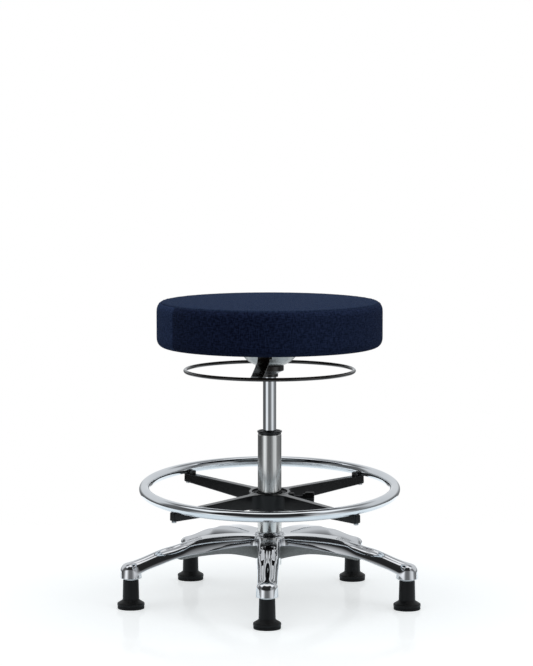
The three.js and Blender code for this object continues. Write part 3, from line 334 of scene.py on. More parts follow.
def underside(inner, outer, depth, low_z):
    """The flange, the rib's side and foot, and the channel in it, as columns back to the inner line."""
    rise = outer[:, 1] - inner[:, 1]
    lines = (RIB_SIDE + RIB_ROOT, RIB_SIDE + RIB_DRAFT, RIB_SIDE, RIB_SIDE - RIB_BEVEL,
             CHANNEL_SIDE + CHANNEL_BEVEL, CHANNEL_SIDE, CHANNEL_SIDE - CHANNEL_DRAFT)
    across = [np.clip((y - inner[:, 1]) / np.maximum(rise, 1e-6), 0, 1) for y in lines]
    share = np.minimum.accumulate(np.stack([1 - EDGE_BEVEL / depth, *across, 0 * rise], 1), 1)
    plan = inner[:, None] + (outer - inner)[:, None] * share[..., None]
    x = plan[..., 0]
    flange = np.where(x > ARM_REACH, low_z[:, None], through(x, *LOWER))
    rib = through(x, *RIB)
    rib = np.minimum(rib + (flange - rib) * step(x, *RIB_ENDS), flange)
    depth_here = CHANNEL_DEPTH * step(x, *CHANNEL_STARTS) * (1 - step(x, *CHANNEL_ENDS))
    roof = rib + np.minimum(depth_here, CHANNEL_ROOF - rib)
    level = np.stack([low_z, flange[:, 1] + ROOT_RISE, flange[:, 2], rib[:, 3] + BEVEL_RISE, rib[:, 4],
                      rib[:, 5], rib[:, 6] + BEVEL_RISE, roof[:, 7], roof[:, 8]], 1)
    return np.concatenate([plan, level[..., None]], -1)


def half_sector():
    """One side of an arm and its share of the hub, each as points, quads and a number for each point
    that is 1 where the casting is left rough. A row runs across the arm from its inner line to the
    outline, down the wall, and back under it. The hub's band goes over its top and down its bore."""
    inner, outer, depth, ring_turn = sector_lines()
    low_z = through(outer[:, 0], *LOWER)
    above, under = upper_side(inner, outer, depth, low_z), underside(inner, outer, depth, low_z)
    points = np.concatenate([above, under], 1)
    rough = np.tile(np.r_[np.zeros(above.shape[1] + 1), np.ones(under.shape[1] - 1)], (len(points), 1))
    crown = HUB_TOP + HUB_CROWN
    band_r, band_z = np.array([
        (HUB_RADIUS, HUB_TOP), (HUB_RADIUS - HUB_CROWN / 2, HUB_TOP + 0.3 * HUB_CROWN),
        (HUB_BORE + HUB_BEVEL, crown), (HUB_BORE, crown - HUB_BEVEL),
        (HUB_BORE, HUB_FOOT), (HUB_RADIUS - HUB_CROWN, HUB_FOOT)]).T
    ring_turn = ring_turn[:, None]
    band = np.stack([band_r * np.cos(ring_turn), band_r * np.sin(ring_turn), band_z + 0 * ring_turn], -1)
    rows = len(ring_turn)
    band = np.concatenate([points[:rows, :1], band, points[:rows, -1:]], 1)
    band_rough = np.tile(np.r_[np.zeros(6), np.ones(2)], (rows, 1))
    return [(points.reshape(-1, 3), grid(*points.shape[:2]), rough.ravel()),
            (band.reshape(-1, 3), grid(*band.shape[:2]), band_rough.ravel())]


def rounded(corners, steps=6):
    """Closed outline through (x, y, radius) corners, each with a radius turned into an arc."""
    p = np.array([c[:2] for c in corners], float)
    out = []
    for i, (_, _, radius) in enumerate(corners):
        if not radius:
            out.append(p[i : i + 1])
            continue
        a, b = p[i - 1] - p[i], p[(i + 1) % len(p)] - p[i]
        a, b = a / np.linalg.norm(a), b / np.linalg.norm(b)
        half = math.acos(np.clip(a @ b, -1, 1)) / 2
        centre = p[i] + (a + b) / np.linalg.norm(a + b) * radius / math.sin(half)
        back = radius / math.tan(half)
        start, end = p[i] + a * back - centre, p[i] + b * back - centre
        first = math.atan2(start[1], start[0])
        turn = (math.atan2(end[1], end[0]) - first + math.pi) % (2 * math.pi) - math.pi
        angle = first + turn * np.linspace(0, 1, steps + 1)
        out.append(centre + radius * np.stack([np.cos(angle), np.sin(angle)], -1))
    return np.concatenate(out)


def revolve(profile, segments=96):
    """A closed profile of (radius, height) turned round the axis; its points on the axis merge."""
    angle = np.linspace(0, 2 * np.pi, segments, endpoint=False)[:, None]
    r, z = np.asarray(profile).T
    points = np.stack([r * np.cos(angle), r * np.sin(angle), z + 0 * angle], -1).reshape(-1, 3)
    return points, [grid(segments, len(r), True, True)]


polished_aluminium, shader, s = material("polished_aluminium", {"Metallic": 1.0})
cast = s.attribute("cast")
grain = s.noise(s.place(), 420.0, 3.0)
as_cast = grain.between(0.3, 0.7).mix((0.30, 0.30, 0.29, 1), (0.42, 0.42, 0.41, 1))
cast.mix((0.83, 0.84, 0.86, 1), as_cast).into(shader, "Base Color")
(0.03 + 0.03 * s.noise(s.place(), 14.0, 4.0) + cast * 0.42).into(shader, "Roughness")
(grain * cast).bump(0.0006).into(shader, "Normal")

BOSS_BORE, BOSS_FOOT_RADIUS, BOSS_TOP_RADIUS = 6.0, 22.9, 20.9
BOSS_FOOT, BOSS_TOP, BOSS_EDGE, BOSS_ROUGH = 64.45, 84.0, 1.3, 0.15

halves = half_sector()
boss, boss_faces = revolve(rounded([(BOSS_BORE, BOSS_FOOT, 0), (BOSS_FOOT_RADIUS, BOSS_FOOT, BOSS_EDGE),
                                    (BOSS_TOP_RADIUS, BOSS_TOP, 0), (BOSS_BORE, BOSS_TOP, 0)]), 64)
boss = boss + np.array([ARM_REACH, 0, 0])
shells, cast_values = [], []
for arm in range(ARM_COUNT):
    angle = ARM_AZIMUTH - 90 + 2 * HALF_SECTOR * arm
    for points, faces, value in halves:
        for side in (1, -1):
            shells.append((turned(points * np.array([1, side, 1]), angle), [faces]))
            cast_values.append(value)
    shells.append((turned(boss, angle), boss_faces))
    cast_values.append(np.full(len(boss), BOSS_ROUGH))
make("star_base_fine", shells, "base", "polished_aluminium", polished_aluminium, ["star_base"], 38.0,
     cast=np.concatenate(cast_values))

# Glides: five moulded nylon feet with a rubber sole pressed under each, standing still on the
# floor. A steel stem with a bright collar holds each of them in its arm's boss.

black_nylon, shader, s = material("black_nylon", {"Specular IOR Level": 0.3})
spark = s.noise(s.place(), 2600.0, 2.0)
wear = s.noise(s.place(), 55.0, 4.0)
tone = wear.between(0.35, 0.75).mix((0.0028, 0.0029, 0.0031, 1), (0.0062, 0.0062, 0.0064, 1))
tone.into(shader, "Base Color")
(0.34 + 0.16 * wear).into(shader, "Roughness")
spark.bump(0.00008).into(shader, "Normal")

sole_rubber, shader, s = material("sole_rubber", {"Specular IOR Level": 0.3})
dust = s.noise(s.place(), 90.0, 5.0)
dust.between(0.4, 0.8).mix((0.003, 0.003, 0.0034, 1), (0.009, 0.0086, 0.008, 1)).into(shader, "Base Color")
(0.52 + 0.2 * dust).into(shader, "Roughness")
s.noise(s.place(), 1500.0, 2.0).bump(0.0001).into(shader, "Normal")

bright_steel, shader, s = material("bright_steel", {"Metallic": 1.0})
lines = s.noise(s.place((1.0, 1.0, 30.0)), 90.0, 3.0)
lines.between(0.3, 0.7).mix((0.50, 0.51, 0.52, 1), (0.66, 0.67, 0.68, 1)).into(shader, "Base Color")
(0.18 + 0.14 * lines).into(shader, "Roughness")


def heights(node):
    """A CAD node's lowest and highest point, in mm."""
    low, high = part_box(node)
    return round(low.z * 1000, 3), round(high.z * 1000, 3)


GLIDE_FOOT, GLIDE_TOP = heights("glide_body_1")
SOLE_FOOT, SOLE_TOP = heights("glide_sole_1")
DISC_RADIUS, DISC_TOP, SOLE_RADIUS = 28.5, 12.2, 28.0
NECK_RADIUS, NECK_FOOT_RADIUS, NECK_FOOT = 16.35, 17.4, 19.4
SHOULDER_RADIUS, SHOULDER = 20.2, 17.2  # where the disc's cone ends and the neck's flare begins

foot, foot_faces = revolve(rounded([
    (0, GLIDE_FOOT, 0), (DISC_RADIUS, GLIDE_FOOT, 0.7), (DISC_RADIUS, DISC_TOP, 2.2),
    (SHOULDER_RADIUS, SHOULDER, 2.5), (NECK_FOOT_RADIUS, NECK_FOOT, 2.5),
    (NECK_RADIUS, GLIDE_TOP, 1.2), (0, GLIDE_TOP, 0)], 8))
sole, sole_faces = revolve(rounded([
    (0, SOLE_FOOT, 0), (SOLE_RADIUS, SOLE_FOOT, 1.6), (SOLE_RADIUS, SOLE_TOP, 0.6), (0, SOLE_TOP, 0)]))
for n in range(ARM_COUNT):
    stand = turned(np.array([ARM_REACH, 0, 0]), ARM_AZIMUTH - 90 + 2 * HALF_SECTOR * n)
    body = f"glide_{n + 1}"
    make(f"glide_foot_{n + 1}", [(foot + stand, foot_faces)], body, "black_plastic", black_nylon,
         [f"glide_body_{n + 1}"])
    make(f"glide_pad_{n + 1}", [(sole + stand, sole_faces)], body, "rubber", sole_rubber,
         [f"glide_sole_{n + 1}"])
    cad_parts[f"glide_stem_{n + 1}"].material_slots[0].material = bright_steel

# Column: a drawn steel tube, nickel bright under its chrome, pressed into the hub, with a rolled lip at
# the top, painted near black and duller as a painted dark reflection. A black plastic bushing in its
# mouth guides the gas cylinder.

TUBE_FOOT, TUBE_TOP = heights("column_tube")
TUBE_RADIUS, TUBE_BORE, GROOVE_RADIUS, LIP_RADIUS = 25.0, 22.8, 24.3, 26.0
GROOVE_FOOT, GROOVE_TOP, LIP_FOOT = TUBE_TOP - 8.5, TUBE_TOP - 5.0, TUBE_TOP - 3.5
GROOVE_SLOPE = 1.0

column_chrome, shader, s = material(
    "column_chrome", {"Metallic": 1.0, "Anisotropic": 0.85, "Anisotropic Rotation": 0.25})
smear = s.noise(s.place((1.0, 1.0, 0.25)), 30.0, 4.0)
bright = smear.between(0.3, 0.7).mix((0.72, 0.72, 0.705, 1), (0.82, 0.82, 0.805, 1))
# Painted dark reflection: from the groove up, the tube's colour turns near black and duller.
painted_dark_lip = s.place().part("Z").between((GROOVE_FOOT + 0.3) / 1000, (GROOVE_FOOT + 1.1) / 1000)
painted_dark_lip.mix(bright, (0.05, 0.05, 0.052, 1)).into(shader, "Base Color")
(0.10 + 0.05 * smear + 0.12 * painted_dark_lip).into(shader, "Roughness")
s.noise(s.place((1.0, 1.0, 0.02)), 900.0, 2.0).bump(0.00001).into(shader, "Normal")

tube = revolve(rounded([
    (TUBE_BORE, TUBE_FOOT, 0.3), (TUBE_RADIUS, TUBE_FOOT, 0.8), (TUBE_RADIUS, GROOVE_FOOT, 0.5),
    (GROOVE_RADIUS, GROOVE_FOOT + GROOVE_SLOPE, 0.5), (GROOVE_RADIUS, GROOVE_TOP, 0.5),
    (LIP_RADIUS, LIP_FOOT, 1.0), (LIP_RADIUS, TUBE_TOP, 1.3), (TUBE_BORE, TUBE_TOP, 0.6)]), 128)
make("column_tube_fine", [tube], "base", "chrome", column_chrome, ["column_tube"])

bushing_black, shader, s = material("bushing_black", {"Specular IOR Level": 0.4})
rub = s.noise(s.place(), 160.0, 3.0)
rub.between(0.4, 0.7).mix((0.004, 0.004, 0.0045, 1), (0.010, 0.010, 0.011, 1)).into(shader, "Base Color")
(0.38 + 0.2 * rub).into(shader, "Roughness")

BUSHING_FOOT, BUSHING_TOP, BUSHING_RADIUS, BUSHING_BORE = 290.0, heights("guide_bushing")[1], 22.5, 14.3


def liner(bore, radius, foot, top, groove, slope, foot_round, bore_round, depth=0.8):
    """Outline of a plastic liner: a ring with a shallow groove moulded in its top, from the outer to
    the inner radius in groove, whose sides slope by slope."""
    outer, inner = groove
    return rounded([(bore, foot, foot_round), (radius, foot, foot_round), (radius, top, 0.8),
                    (outer, top, 0.3), (outer - slope, top - depth, 0.2),
                    (inner + slope, top - depth, 0.2), (inner, top, 0.3), (bore, top, bore_round)])


bushing = revolve(liner(BUSHING_BORE, BUSHING_RADIUS, BUSHING_FOOT, BUSHING_TOP, (19.5, 17.1), 0.6, 0.3, 0.9))
make("guide_bushing_fine", [bushing], "base", "black_plastic", bushing_black, ["guide_bushing"])

# Gas spring: its 28 mm cylinder slides in the bushing and carries the seat; the rod, thrust
# bearing, bumper and clip stay down in the column. The cylinder is hard chromed and ground.

CYLINDER_FOOT, CYLINDER_TOP = heights("gas_cylinder")
CYLINDER_RADIUS, CONE_FOOT, CONE_TOP_RADIUS, FOOT_BORE, TOP_BORE = 14.0, 476.0, 13.25, 11.8, 11.0

chrome, shader, s = material("chrome", {"Metallic": 1.0})
haze = s.noise(s.place(), 22.0, 4.0)
haze.between(0.3, 0.7).mix((0.86, 0.89, 0.92, 1), (0.92, 0.94, 0.96, 1)).into(shader, "Base Color")
(0.008 + 0.02 * haze).into(shader, "Roughness")

cylinder = revolve(rounded([
    (FOOT_BORE, CYLINDER_FOOT, 0.3), (CYLINDER_RADIUS, CYLINDER_FOOT, 1.0), (CYLINDER_RADIUS, CONE_FOOT, 3),
    (CONE_TOP_RADIUS, CYLINDER_TOP, 0.6), (TOP_BORE, CYLINDER_TOP, 0.3)]))
make("gas_cylinder_fine", [cylinder], "seat", "chrome", chrome, ["gas_cylinder"])

black_bumper, shader, s = material("black_bumper", {})
pores = s.noise(s.place(), 700.0, 3.0)
pores.mix((0.012, 0.012, 0.012, 1), (0.03, 0.03, 0.03, 1)).into(shader, "Base Color")
(0.6 + 0.25 * pores).into(shader, "Roughness")
pores.bump(0.0002).into(shader, "Normal")

grey_button, shader, s = material("release_button", {})
s.noise(s.place(), 300.0, 2.0).mix((0.10, 0.10, 0.11, 1), (0.16, 0.16, 0.17, 1)).into(shader, "Base Color")
(0.35 + 0.1 * s.noise(s.place(), 80.0, 2.0)).into(shader, "Roughness")

steel_nodes = ["piston_rod", "piston_head", "retaining_clip"]
steel_nodes += ["bearing_lower_race", "bearing_cage", "bearing_upper_race"]
for node in steel_nodes:
    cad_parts[node].material_slots[0].material = bright_steel
for node in ("rubber_bumper", "rod_guide_seal"):
    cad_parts[node].material_slots[0].material = black_bumper
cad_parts["release_button"].material_slots[0].material = grey_button

# Lift mechanism: a black painted taper hub on the cylinder's cone, a pressed steel bowl round it,
# slotted for the release bar, and a plate under the seat that the bowl is welded to.

TAPER_FOOT, TAPER_TOP = heights("taper_hub")
TAPER_NECK, TAPER_RIM, TAPER_SPIGOT = 18.0, 30.0, 22.0  # radii of its foot, its rim and its top
TAPER_FOOT_BORE, TAPER_TOP_BORE = 14.4, 14.0
NECK_END, RIM_FOOT, RIM_TOP = 484.5, 490.2, 501.0

gloss_black, shader, s = material(
    "gloss_black", {"Coat Weight": 0.8, "Coat Roughness": 0.05, "Specular IOR Level": 0.4})
peel = s.noise(s.place(), 380.0, 2.0)
blotch = s.noise(s.place(), 60.0, 3.0).between(0.3, 0.75)
blotch.mix((0.0080, 0.0054, 0.0038, 1), (0.0220, 0.0150, 0.0100, 1)).into(shader, "Base Color")
(0.22 + 0.12 * peel).into(shader, "Roughness")
peel.bump(0.000012).into(shader, "Normal")

taper = revolve(rounded([
    (TAPER_FOOT_BORE, TAPER_FOOT, 0.4), (TAPER_NECK, TAPER_FOOT, 0.8), (TAPER_NECK, NECK_END, 3),
    (TAPER_RIM, RIM_FOOT, 1.5), (TAPER_RIM, RIM_TOP, 1.2), (TAPER_SPIGOT, RIM_TOP, 0.5),
    (TAPER_SPIGOT, TAPER_TOP, 0.6), (TAPER_TOP_BORE, TAPER_TOP, 0.4)], 8))
make("taper_hub_fine", [taper], "seat", "black_paint", gloss_black, ["taper_hub"])

pressed_steel, shader, s = material("pressed_steel", {"Metallic": 1.0})
draw = s.noise(s.place((1.0, 1.0, 4.0)), 24.0, 3.0)
draw.between(0.3, 0.7).mix((0.42, 0.43, 0.42, 1), (0.52, 0.53, 0.52, 1)).into(shader, "Base Color")
(0.26 + 0.06 * draw).into(shader, "Roughness")
s.noise(s.place((0.05, 0.05, 1.0)), 1500.0, 1.0).bump(0.000004).into(shader, "Normal")

BAR_AZIMUTH = -10.0  # of the release bar
# The pressed curve from the bowl's foot to its rim: shares of the way out and of the way up.
BOWL_SHARES = np.array([(0, 0), (0.24, 0.10), (0.52, 0.27), (0.73, 0.47), (0.91, 0.73), (1, 1)])
BOWL_FOOT, BOWL_TOP = heights("mechanism_bowl")
BOWL_FOOT_RADIUS, BOWL_RIM_RADIUS, BOWL_WALL, BOWL_BORE, FLOOR_RADIUS = 28.0, 63.0, 2.5, 22.4, 26.5
RIM_ROUND = 0.3
SLOT_HALF, SLOT_FLOOR = 14.6, 518.8


def bowl():
    """Wall section at each angle: out along the floor, up the pressed curve to the rim and back down
    inside it. In the two slots, whose sides are parallel, the rim is as low as the slot's floor."""
    t = np.linspace(0, 1, 25)
    shares = through(t, np.linspace(0, 1, len(BOWL_SHARES)), BOWL_SHARES)
    r = BOWL_FOOT_RADIUS + (BOWL_RIM_RADIUS - BOWL_FOOT_RADIUS) * shares[:, 0]
    z = BOWL_FOOT + (BOWL_TOP - BOWL_FOOT) * shares[:, 1]
    cut = np.interp(SLOT_FLOOR, z, t)
    side, slot = np.linspace(0, 1, 37)[:, None], np.linspace(-1, 1, 13)[:, None]
    blocks = []
    for start, in_slot in ((0, True), (0, False), (1, True), (1, False)):
        height = t * (cut if in_slot else 1.0)
        r_out, z_out = np.interp(height, t, r), np.interp(height, t, z)
        slope = np.stack([np.gradient(r_out), np.gradient(z_out)], -1)
        slope /= np.linalg.norm(slope, axis=1)[:, None]
        r_in, z_in = r_out - BOWL_WALL * slope[:, 1], z_out + BOWL_WALL * slope[:, 0]
        z_in = np.minimum(z_in, z_out[-1])
        rim_r, rim_z = [r_out[-1] - 2 * RIM_ROUND, r_in[-1] + RIM_ROUND], [z_out[-1] + RIM_ROUND] * 2
        loop_r = np.concatenate([[BOWL_BORE, FLOOR_RADIUS], r_out, rim_r, r_in[::-1], [BOWL_BORE]])
        loop_z = np.concatenate([[BOWL_FOOT] * 2, z_out, rim_z, z_in[::-1], [BOWL_FOOT + BOWL_WALL]])
        edge = np.arcsin(np.minimum(SLOT_HALF / loop_r, 0.5))
        angle = np.pi * start + (edge * slot if in_slot else edge + (np.pi - 2 * edge) * side)
        blocks.append(np.stack([loop_r * np.cos(angle), loop_r * np.sin(angle), loop_z + 0 * angle], -1))
    points = np.concatenate(blocks)
    return turned(points.reshape(-1, 3), BAR_AZIMUTH - 90), [grid(*points.shape[:2], True, True)]


make("mechanism_bowl_fine", [bowl()], "seat", "pressed_steel", pressed_steel, ["mechanism_bowl"], 32.0)
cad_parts["seat_plate"].material_slots[0].material = pressed_steel
fasteners = ["bar_pivot_pin"] + [f"{kind}_{n}" for kind in ("plate_bolt", "tee_nut") for n in range(1, 5)]
for node in fasteners:
    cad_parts[node].material_slots[0].material = bright_steel

# Release: a black enamelled wire ring that is pulled from anywhere round the seat, welded to the
# ends of a flat bar, which rocks on a pin in the bowl and presses the cylinder's button.

RELEASE_RADIUS, RELEASE_WIRE, RELEASE_Z = 177.5, 3.9, 490.0
BAR_HALF, BAR_THICKNESS, BAR_Z, BAR_EDGE, BEND_HALF = 13.0, 3.0, 530.8, 1.0, 3.0
# One half of the bar, outwards: flat over the bowl, down through its slot, and flat under the ring.
BAR_BENDS = np.array([(65, BAR_Z), (74, 514), (150, RELEASE_Z + 1), (174, RELEASE_Z)])


def ring(radius, tube, around=256, across=28):
    """A torus: a circle of the tube's radius carried round a circle."""
    a = np.linspace(0, 2 * np.pi, around, endpoint=False)[:, None]
    b = np.linspace(0, 2 * np.pi, across, endpoint=False)
    r = radius + tube * np.cos(b)
    points = np.stack([r * np.cos(a), r * np.sin(a), tube * np.sin(b) + 0 * a], -1)
    return points.reshape(-1, 3), [grid(around, across, True, True)]


def section(half_width, half_height, corner, steps=4):
    """Rounded rectangle, half_width to each side and half_height up and down. The sizes may be
    arrays over the rows of a grid."""
    quadrant = np.repeat(np.arange(4), steps + 1)
    angle = np.radians(90 * quadrant + np.tile(np.linspace(0, 90, steps + 1), 4))
    sx, sz = np.where((quadrant == 0) | (quadrant == 3), 1, -1), np.where(quadrant < 2, 1, -1)
    w, h = np.asarray(half_width, float)[..., None], np.asarray(half_height, float)[..., None]
    c = np.minimum(corner, np.minimum(w, h))
    return sx * (w - c) + c * np.cos(angle), sz * (h - c) + c * np.sin(angle)


def capped(points):
    """Shell of a section carried along a line: quads between its rows, and a face on each end."""
    rows, count = points.shape[:2]
    ends = [np.arange(count)[None] + row * count for row in (0, rows - 1)]
    return points.reshape(-1, 3), [grid(rows, count, False, True), *ends]


def release_bar():
    """A flat section carried along the bends, which are softened: a point of the bar's line is the
    mean of the places within BEND_HALF of it along the sharp line."""
    bends = np.concatenate([BAR_BENDS[::-1] * (-1, 1), BAR_BENDS])
    far = np.concatenate([[0], np.cumsum(np.hypot(*np.diff(bends, axis=0).T))])
    reach = [np.linspace(a, b, 15)[:-1] for a, b in zip(far[:-1], far[1:])]
    reach = np.concatenate(reach + [far[-1:]])
    near = reach[:, None] + np.linspace(-BEND_HALF, BEND_HALF, 13)
    line = np.stack([np.interp(near, far, bends[:, i]).mean(1) for i in (0, 1)], -1)
    line[0], line[-1] = bends[0], bends[-1]
    along = np.gradient(line, axis=0)
    along /= np.linalg.norm(along, axis=1)[:, None]
    y, n = section(np.full(len(line), BAR_HALF), BAR_THICKNESS / 2, BAR_EDGE)
    points = np.stack([line[:, :1] - n * along[:, 1:], y + 0 * n, line[:, 1:] + n * along[:, :1]], -1)
    return capped(turned(points, BAR_AZIMUTH + 90))


points, faces = ring(RELEASE_RADIUS, RELEASE_WIRE)
make("release_ring_fine", [(points + np.array([0, 0, RELEASE_Z]), faces)], "release_lever",
     "black_paint", gloss_black, ["release_ring"])
make("release_bar_fine", [release_bar()], "release_lever", "black_paint", gloss_black, ["release_bar"])

# Seat: a plywood board and a foam pad in a sewn cover of navy woven cloth. A round top panel is
# seamed to a boxing of two lengths, whose hem is stapled under the board.

birch_ply, shader, s = material("birch_ply", {})
veneer = s.node("ShaderNodeTexWave", {"wave_type": "BANDS", "bands_direction": "Z"},
                {"Vector": s.place(), "Scale": 210.0, "Distortion": 0.6, "Detail": 2.0}, "Fac")
grain = s.noise(s.place((1.0, 14.0, 1.0)), 60.0, 4.0)
(veneer * 0.5 + grain * 0.5).mix((0.30, 0.17, 0.08, 1), (0.56, 0.38, 0.21, 1)).into(shader, "Base Color")
(0.55 + 0.2 * grain).into(shader, "Roughness")
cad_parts["seat_board"].material_slots[0].material = birch_ply

THREAD_PITCH = 0.0012  # metres between two threads of the weave
SLUB_FINE, SLUB_LONG, FLECK = 430.0, 95.0, 190.0  # of the noise in the cloth, per metre

navy_cloth, shader, s = material(
    "navy_cloth", {"Specular IOR Level": 0.05, "Sheen Weight": 0.05, "Sheen Roughness": 0.5,
                   "Sheen Tint": (0.35, 0.55, 1.0, 1)})
cut = s.node("ShaderNodeTexCoord", output="UV")
slub_across = s.noise(cut.times((SLUB_LONG, SLUB_FINE, 1.0)), 1.0, 2.0)
slub_along = s.noise(cut.times((SLUB_FINE, SLUB_LONG, 1.0)), 1.0, 2.0)
fleck = s.noise(cut.times((FLECK, FLECK, 1.0)), 1.0, 3.0)
yarn = (slub_across + slub_along) * 0.5
threads = cut.times((2 * math.pi / THREAD_PITCH, 2 * math.pi / THREAD_PITCH, 1.0))
weave = s.math("SINE", threads.part("X")) * s.math("SINE", threads.part("Y"))
boxing, paler = s.attribute("boxing"), s.attribute("paler")
tone = ((yarn - 0.5) * 5.0 + (fleck - 0.5) * 1.8 + weave * 0.12 + 0.5).between(0.0, 1.0)
# Painted shade: the boxing's cloth is darker than the top panel's, for the shade on the seat's side; the top
# is the lit copy.
lit_top_colour = tone.mix((0.0140, 0.0253, 0.0586, 1), (0.0300, 0.0477, 0.1048, 1))
shaded_side_colour = tone.mix((0.0031, 0.0056, 0.0205, 1), (0.0165, 0.0264, 0.0711, 1))
# The left length of the boxing is painted paler all over; the other length is painted paler towards the
# right, as painted light.
pale_colour = tone.mix((0.0156, 0.0299, 0.0774, 1), (0.0388, 0.0611, 0.1446, 1))
boxing.mix(lit_top_colour, paler.mix(shaded_side_colour, pale_colour)).into(shader, "Base Color")
(0.82 + 0.1 * fleck).into(shader, "Roughness")
(weave * 0.5 + yarn * 2.0).bump(0.0005, 0.8).into(shader, "Normal")

SEAT_FOOT, SEAT_TOP = heights("seat_cover")
SEAT_RADIUS, SIDE_SWELL, TOP_SWELL = 239.0, 2.4, 4.6
BOTTOM_ROUND, TOP_ROUND, SEAM_TURN = 16.0, 17.0, 33.0  # the seam is that many degrees up the top round
HEM_RADIUS, CAVITY_RADIUS, CAVITY_FOOT, CAVITY_TOP, CAVITY_MIDDLE = 206.0, 227.2, 542.2, 555.2, 6.0
BOXING_SEAM = -57.5  # azimuth of the upright seam that shows; the other is opposite
HEM_HELD, SEAM_HELD = 22.0, 2.5  # of the skin, from the hem and to each side of the seam
PRESSURE, STIFFNESS, CLOTH_FRAMES = 4.0, 25.0, 20
SEAM_DRAW, SEAM_WIDTH, PUCKER, PUCKER_WIDTH, PUCKERS = 1.5, 1.1, 0.9, 5.0, (22, 110)
WELT, WELT_PLACE, WELT_WIDTH = 0.35, 3.2, 1.6  # the cloth stands up to each side of the seam
UPRIGHT_DRAW, UPRIGHT_WIDTH = 1.8, 2.0
PALE_SHARE, PALE_STARTS = 0.33, (-12.0, 28.0)  # painted light: the boxing is painted paler towards the right
start_radius, start_top = SEAT_RADIUS - SIDE_SWELL, SEAT_TOP - TOP_SWELL

# The skin's rest line, from the hem under the board out and up to the middle of the top.
skin = rounded([(HEM_RADIUS, SEAT_FOOT, 0), (start_radius, SEAT_FOOT, BOTTOM_ROUND),
                (start_radius, start_top, TOP_ROUND), (0, start_top, 0)], 16)
length = np.concatenate([[0], np.cumsum(np.hypot(*np.diff(skin, axis=0).T))])
seam_at = length[-1] - (start_radius - TOP_ROUND) - math.radians(SEAM_TURN) * TOP_ROUND
cavity = np.array([(HEM_RADIUS, CAVITY_FOOT), (CAVITY_RADIUS, CAVITY_FOOT), (CAVITY_RADIUS, CAVITY_TOP),
                   (CAVITY_MIDDLE, CAVITY_TOP)])


def skin_at(far):
    """Radius and height on the rest line, far millimetres from the hem."""
    return np.interp(far, length, skin[:, 0]), np.interp(far, length, skin[:, 1])


def swelling(far, segments):
    """How the stuffing swells the skin: the closed pad is a Cloth under pressure, pinned over the
    board, along the hem and along the top seam. Returns the move of each point of the rest line."""
    r, z = skin_at(far)
    under = [np.linspace(cavity[i], cavity[i + 1], n)[:-1] for i, n in enumerate((4, 3, 24))]
    under = np.concatenate(under + [cavity[-1:]])
    loop_r, loop_z = np.concatenate([under[::-1, 0], r]), np.concatenate([under[::-1, 1], z])
    turn = np.linspace(0, 2 * np.pi, segments, endpoint=False)
    points = [loop_r[:, None] * np.cos(turn), loop_r[:, None] * np.sin(turn), loop_z[:, None] + 0 * turn]
    points = np.stack(points, -1)
    faces = grid(len(loop_r), segments, False, True).tolist()
    faces += [list(range(segments))[::-1], [(len(loop_r) - 1) * segments + i for i in range(segments)]]
    mesh = bpy.data.meshes.new("pad_trial")
    mesh.from_pydata((points.reshape(-1, 3) / 1000).tolist(), [], faces)
    trial = bpy.data.objects.new("pad_trial", mesh)
    bpy.context.scene.collection.objects.link(trial)
    pins = trial.vertex_groups.new(name="pins")
    held = np.concatenate([np.ones(len(under)), (np.abs(far - seam_at) < SEAM_HELD) | (far < HEM_HELD)])
    pins.add(np.flatnonzero(np.repeat(held, segments)).tolist(), 1.0, "REPLACE")
    cloth = trial.modifiers.new("cloth", "CLOTH").settings
    cloth.use_pressure, cloth.uniform_pressure_force, cloth.vertex_group_mass = True, PRESSURE, "pins"
    cloth.effector_weights.gravity = 0.0
    cloth.tension_stiffness = cloth.compression_stiffness = STIFFNESS
    for now in range(1, CLOTH_FRAMES + 1):
        bpy.context.scene.frame_set(now)
    shown = trial.evaluated_get(bpy.context.evaluated_depsgraph_get()).to_mesh()
    after = np.empty(len(shown.vertices) * 3, np.float32)
    shown.vertices.foreach_get("co", after)
    bpy.data.objects.remove(trial)
    bpy.context.scene.frame_set(1)
    move = after.reshape(points.shape) * 1000 - points
    return move[len(under) :]


coarse = np.unique(np.concatenate([np.linspace(0, length[-1] - 6.0, 58), [seam_at]]))
segments, fine_segments = 96, 384
move = swelling(coarse, segments)
turn = np.linspace(0, 2 * np.pi, segments, endpoint=False)
outward = np.clip(move[..., 0] * np.cos(turn) + move[..., 1] * np.sin(turn), 0, None)
upward = np.clip(move[..., 2], 0, None)
outward = outward * SIDE_SWELL / max(outward.max(), 1e-6)
upward = upward * TOP_SWELL / max(upward.max(), 1e-6)


def finer(values, rows):
    """Values on the coarse grid brought to other rows and to the fine count of columns."""
    wave = np.fft.rfft(values, axis=1)
    values = np.fft.irfft(wave, fine_segments, axis=1) * (fine_segments / values.shape[1])
    return through(rows, coarse, values)


def bell(distance, width):
    """1 at distance 0, falling away to both sides over about width."""
    return np.exp(-((distance / width) ** 2))


near = seam_at + np.linspace(-5, 5, 21)
rows = np.concatenate([np.linspace(0, seam_at - 5, 46), near, np.linspace(seam_at + 5, length[-1] - 1.5, 60)])
rows = np.unique(np.round(rows, 4))
turn = np.linspace(0, 2 * np.pi, fine_segments, endpoint=False)
azimuth = (np.degrees(turn) + 90 + 180) % 360 - 180
r, z = skin_at(rows)
tangent = np.stack([np.gradient(r, rows), np.gradient(z, rows)], -1)
normal = np.stack([tangent[:, 1], -tangent[:, 0]], -1)
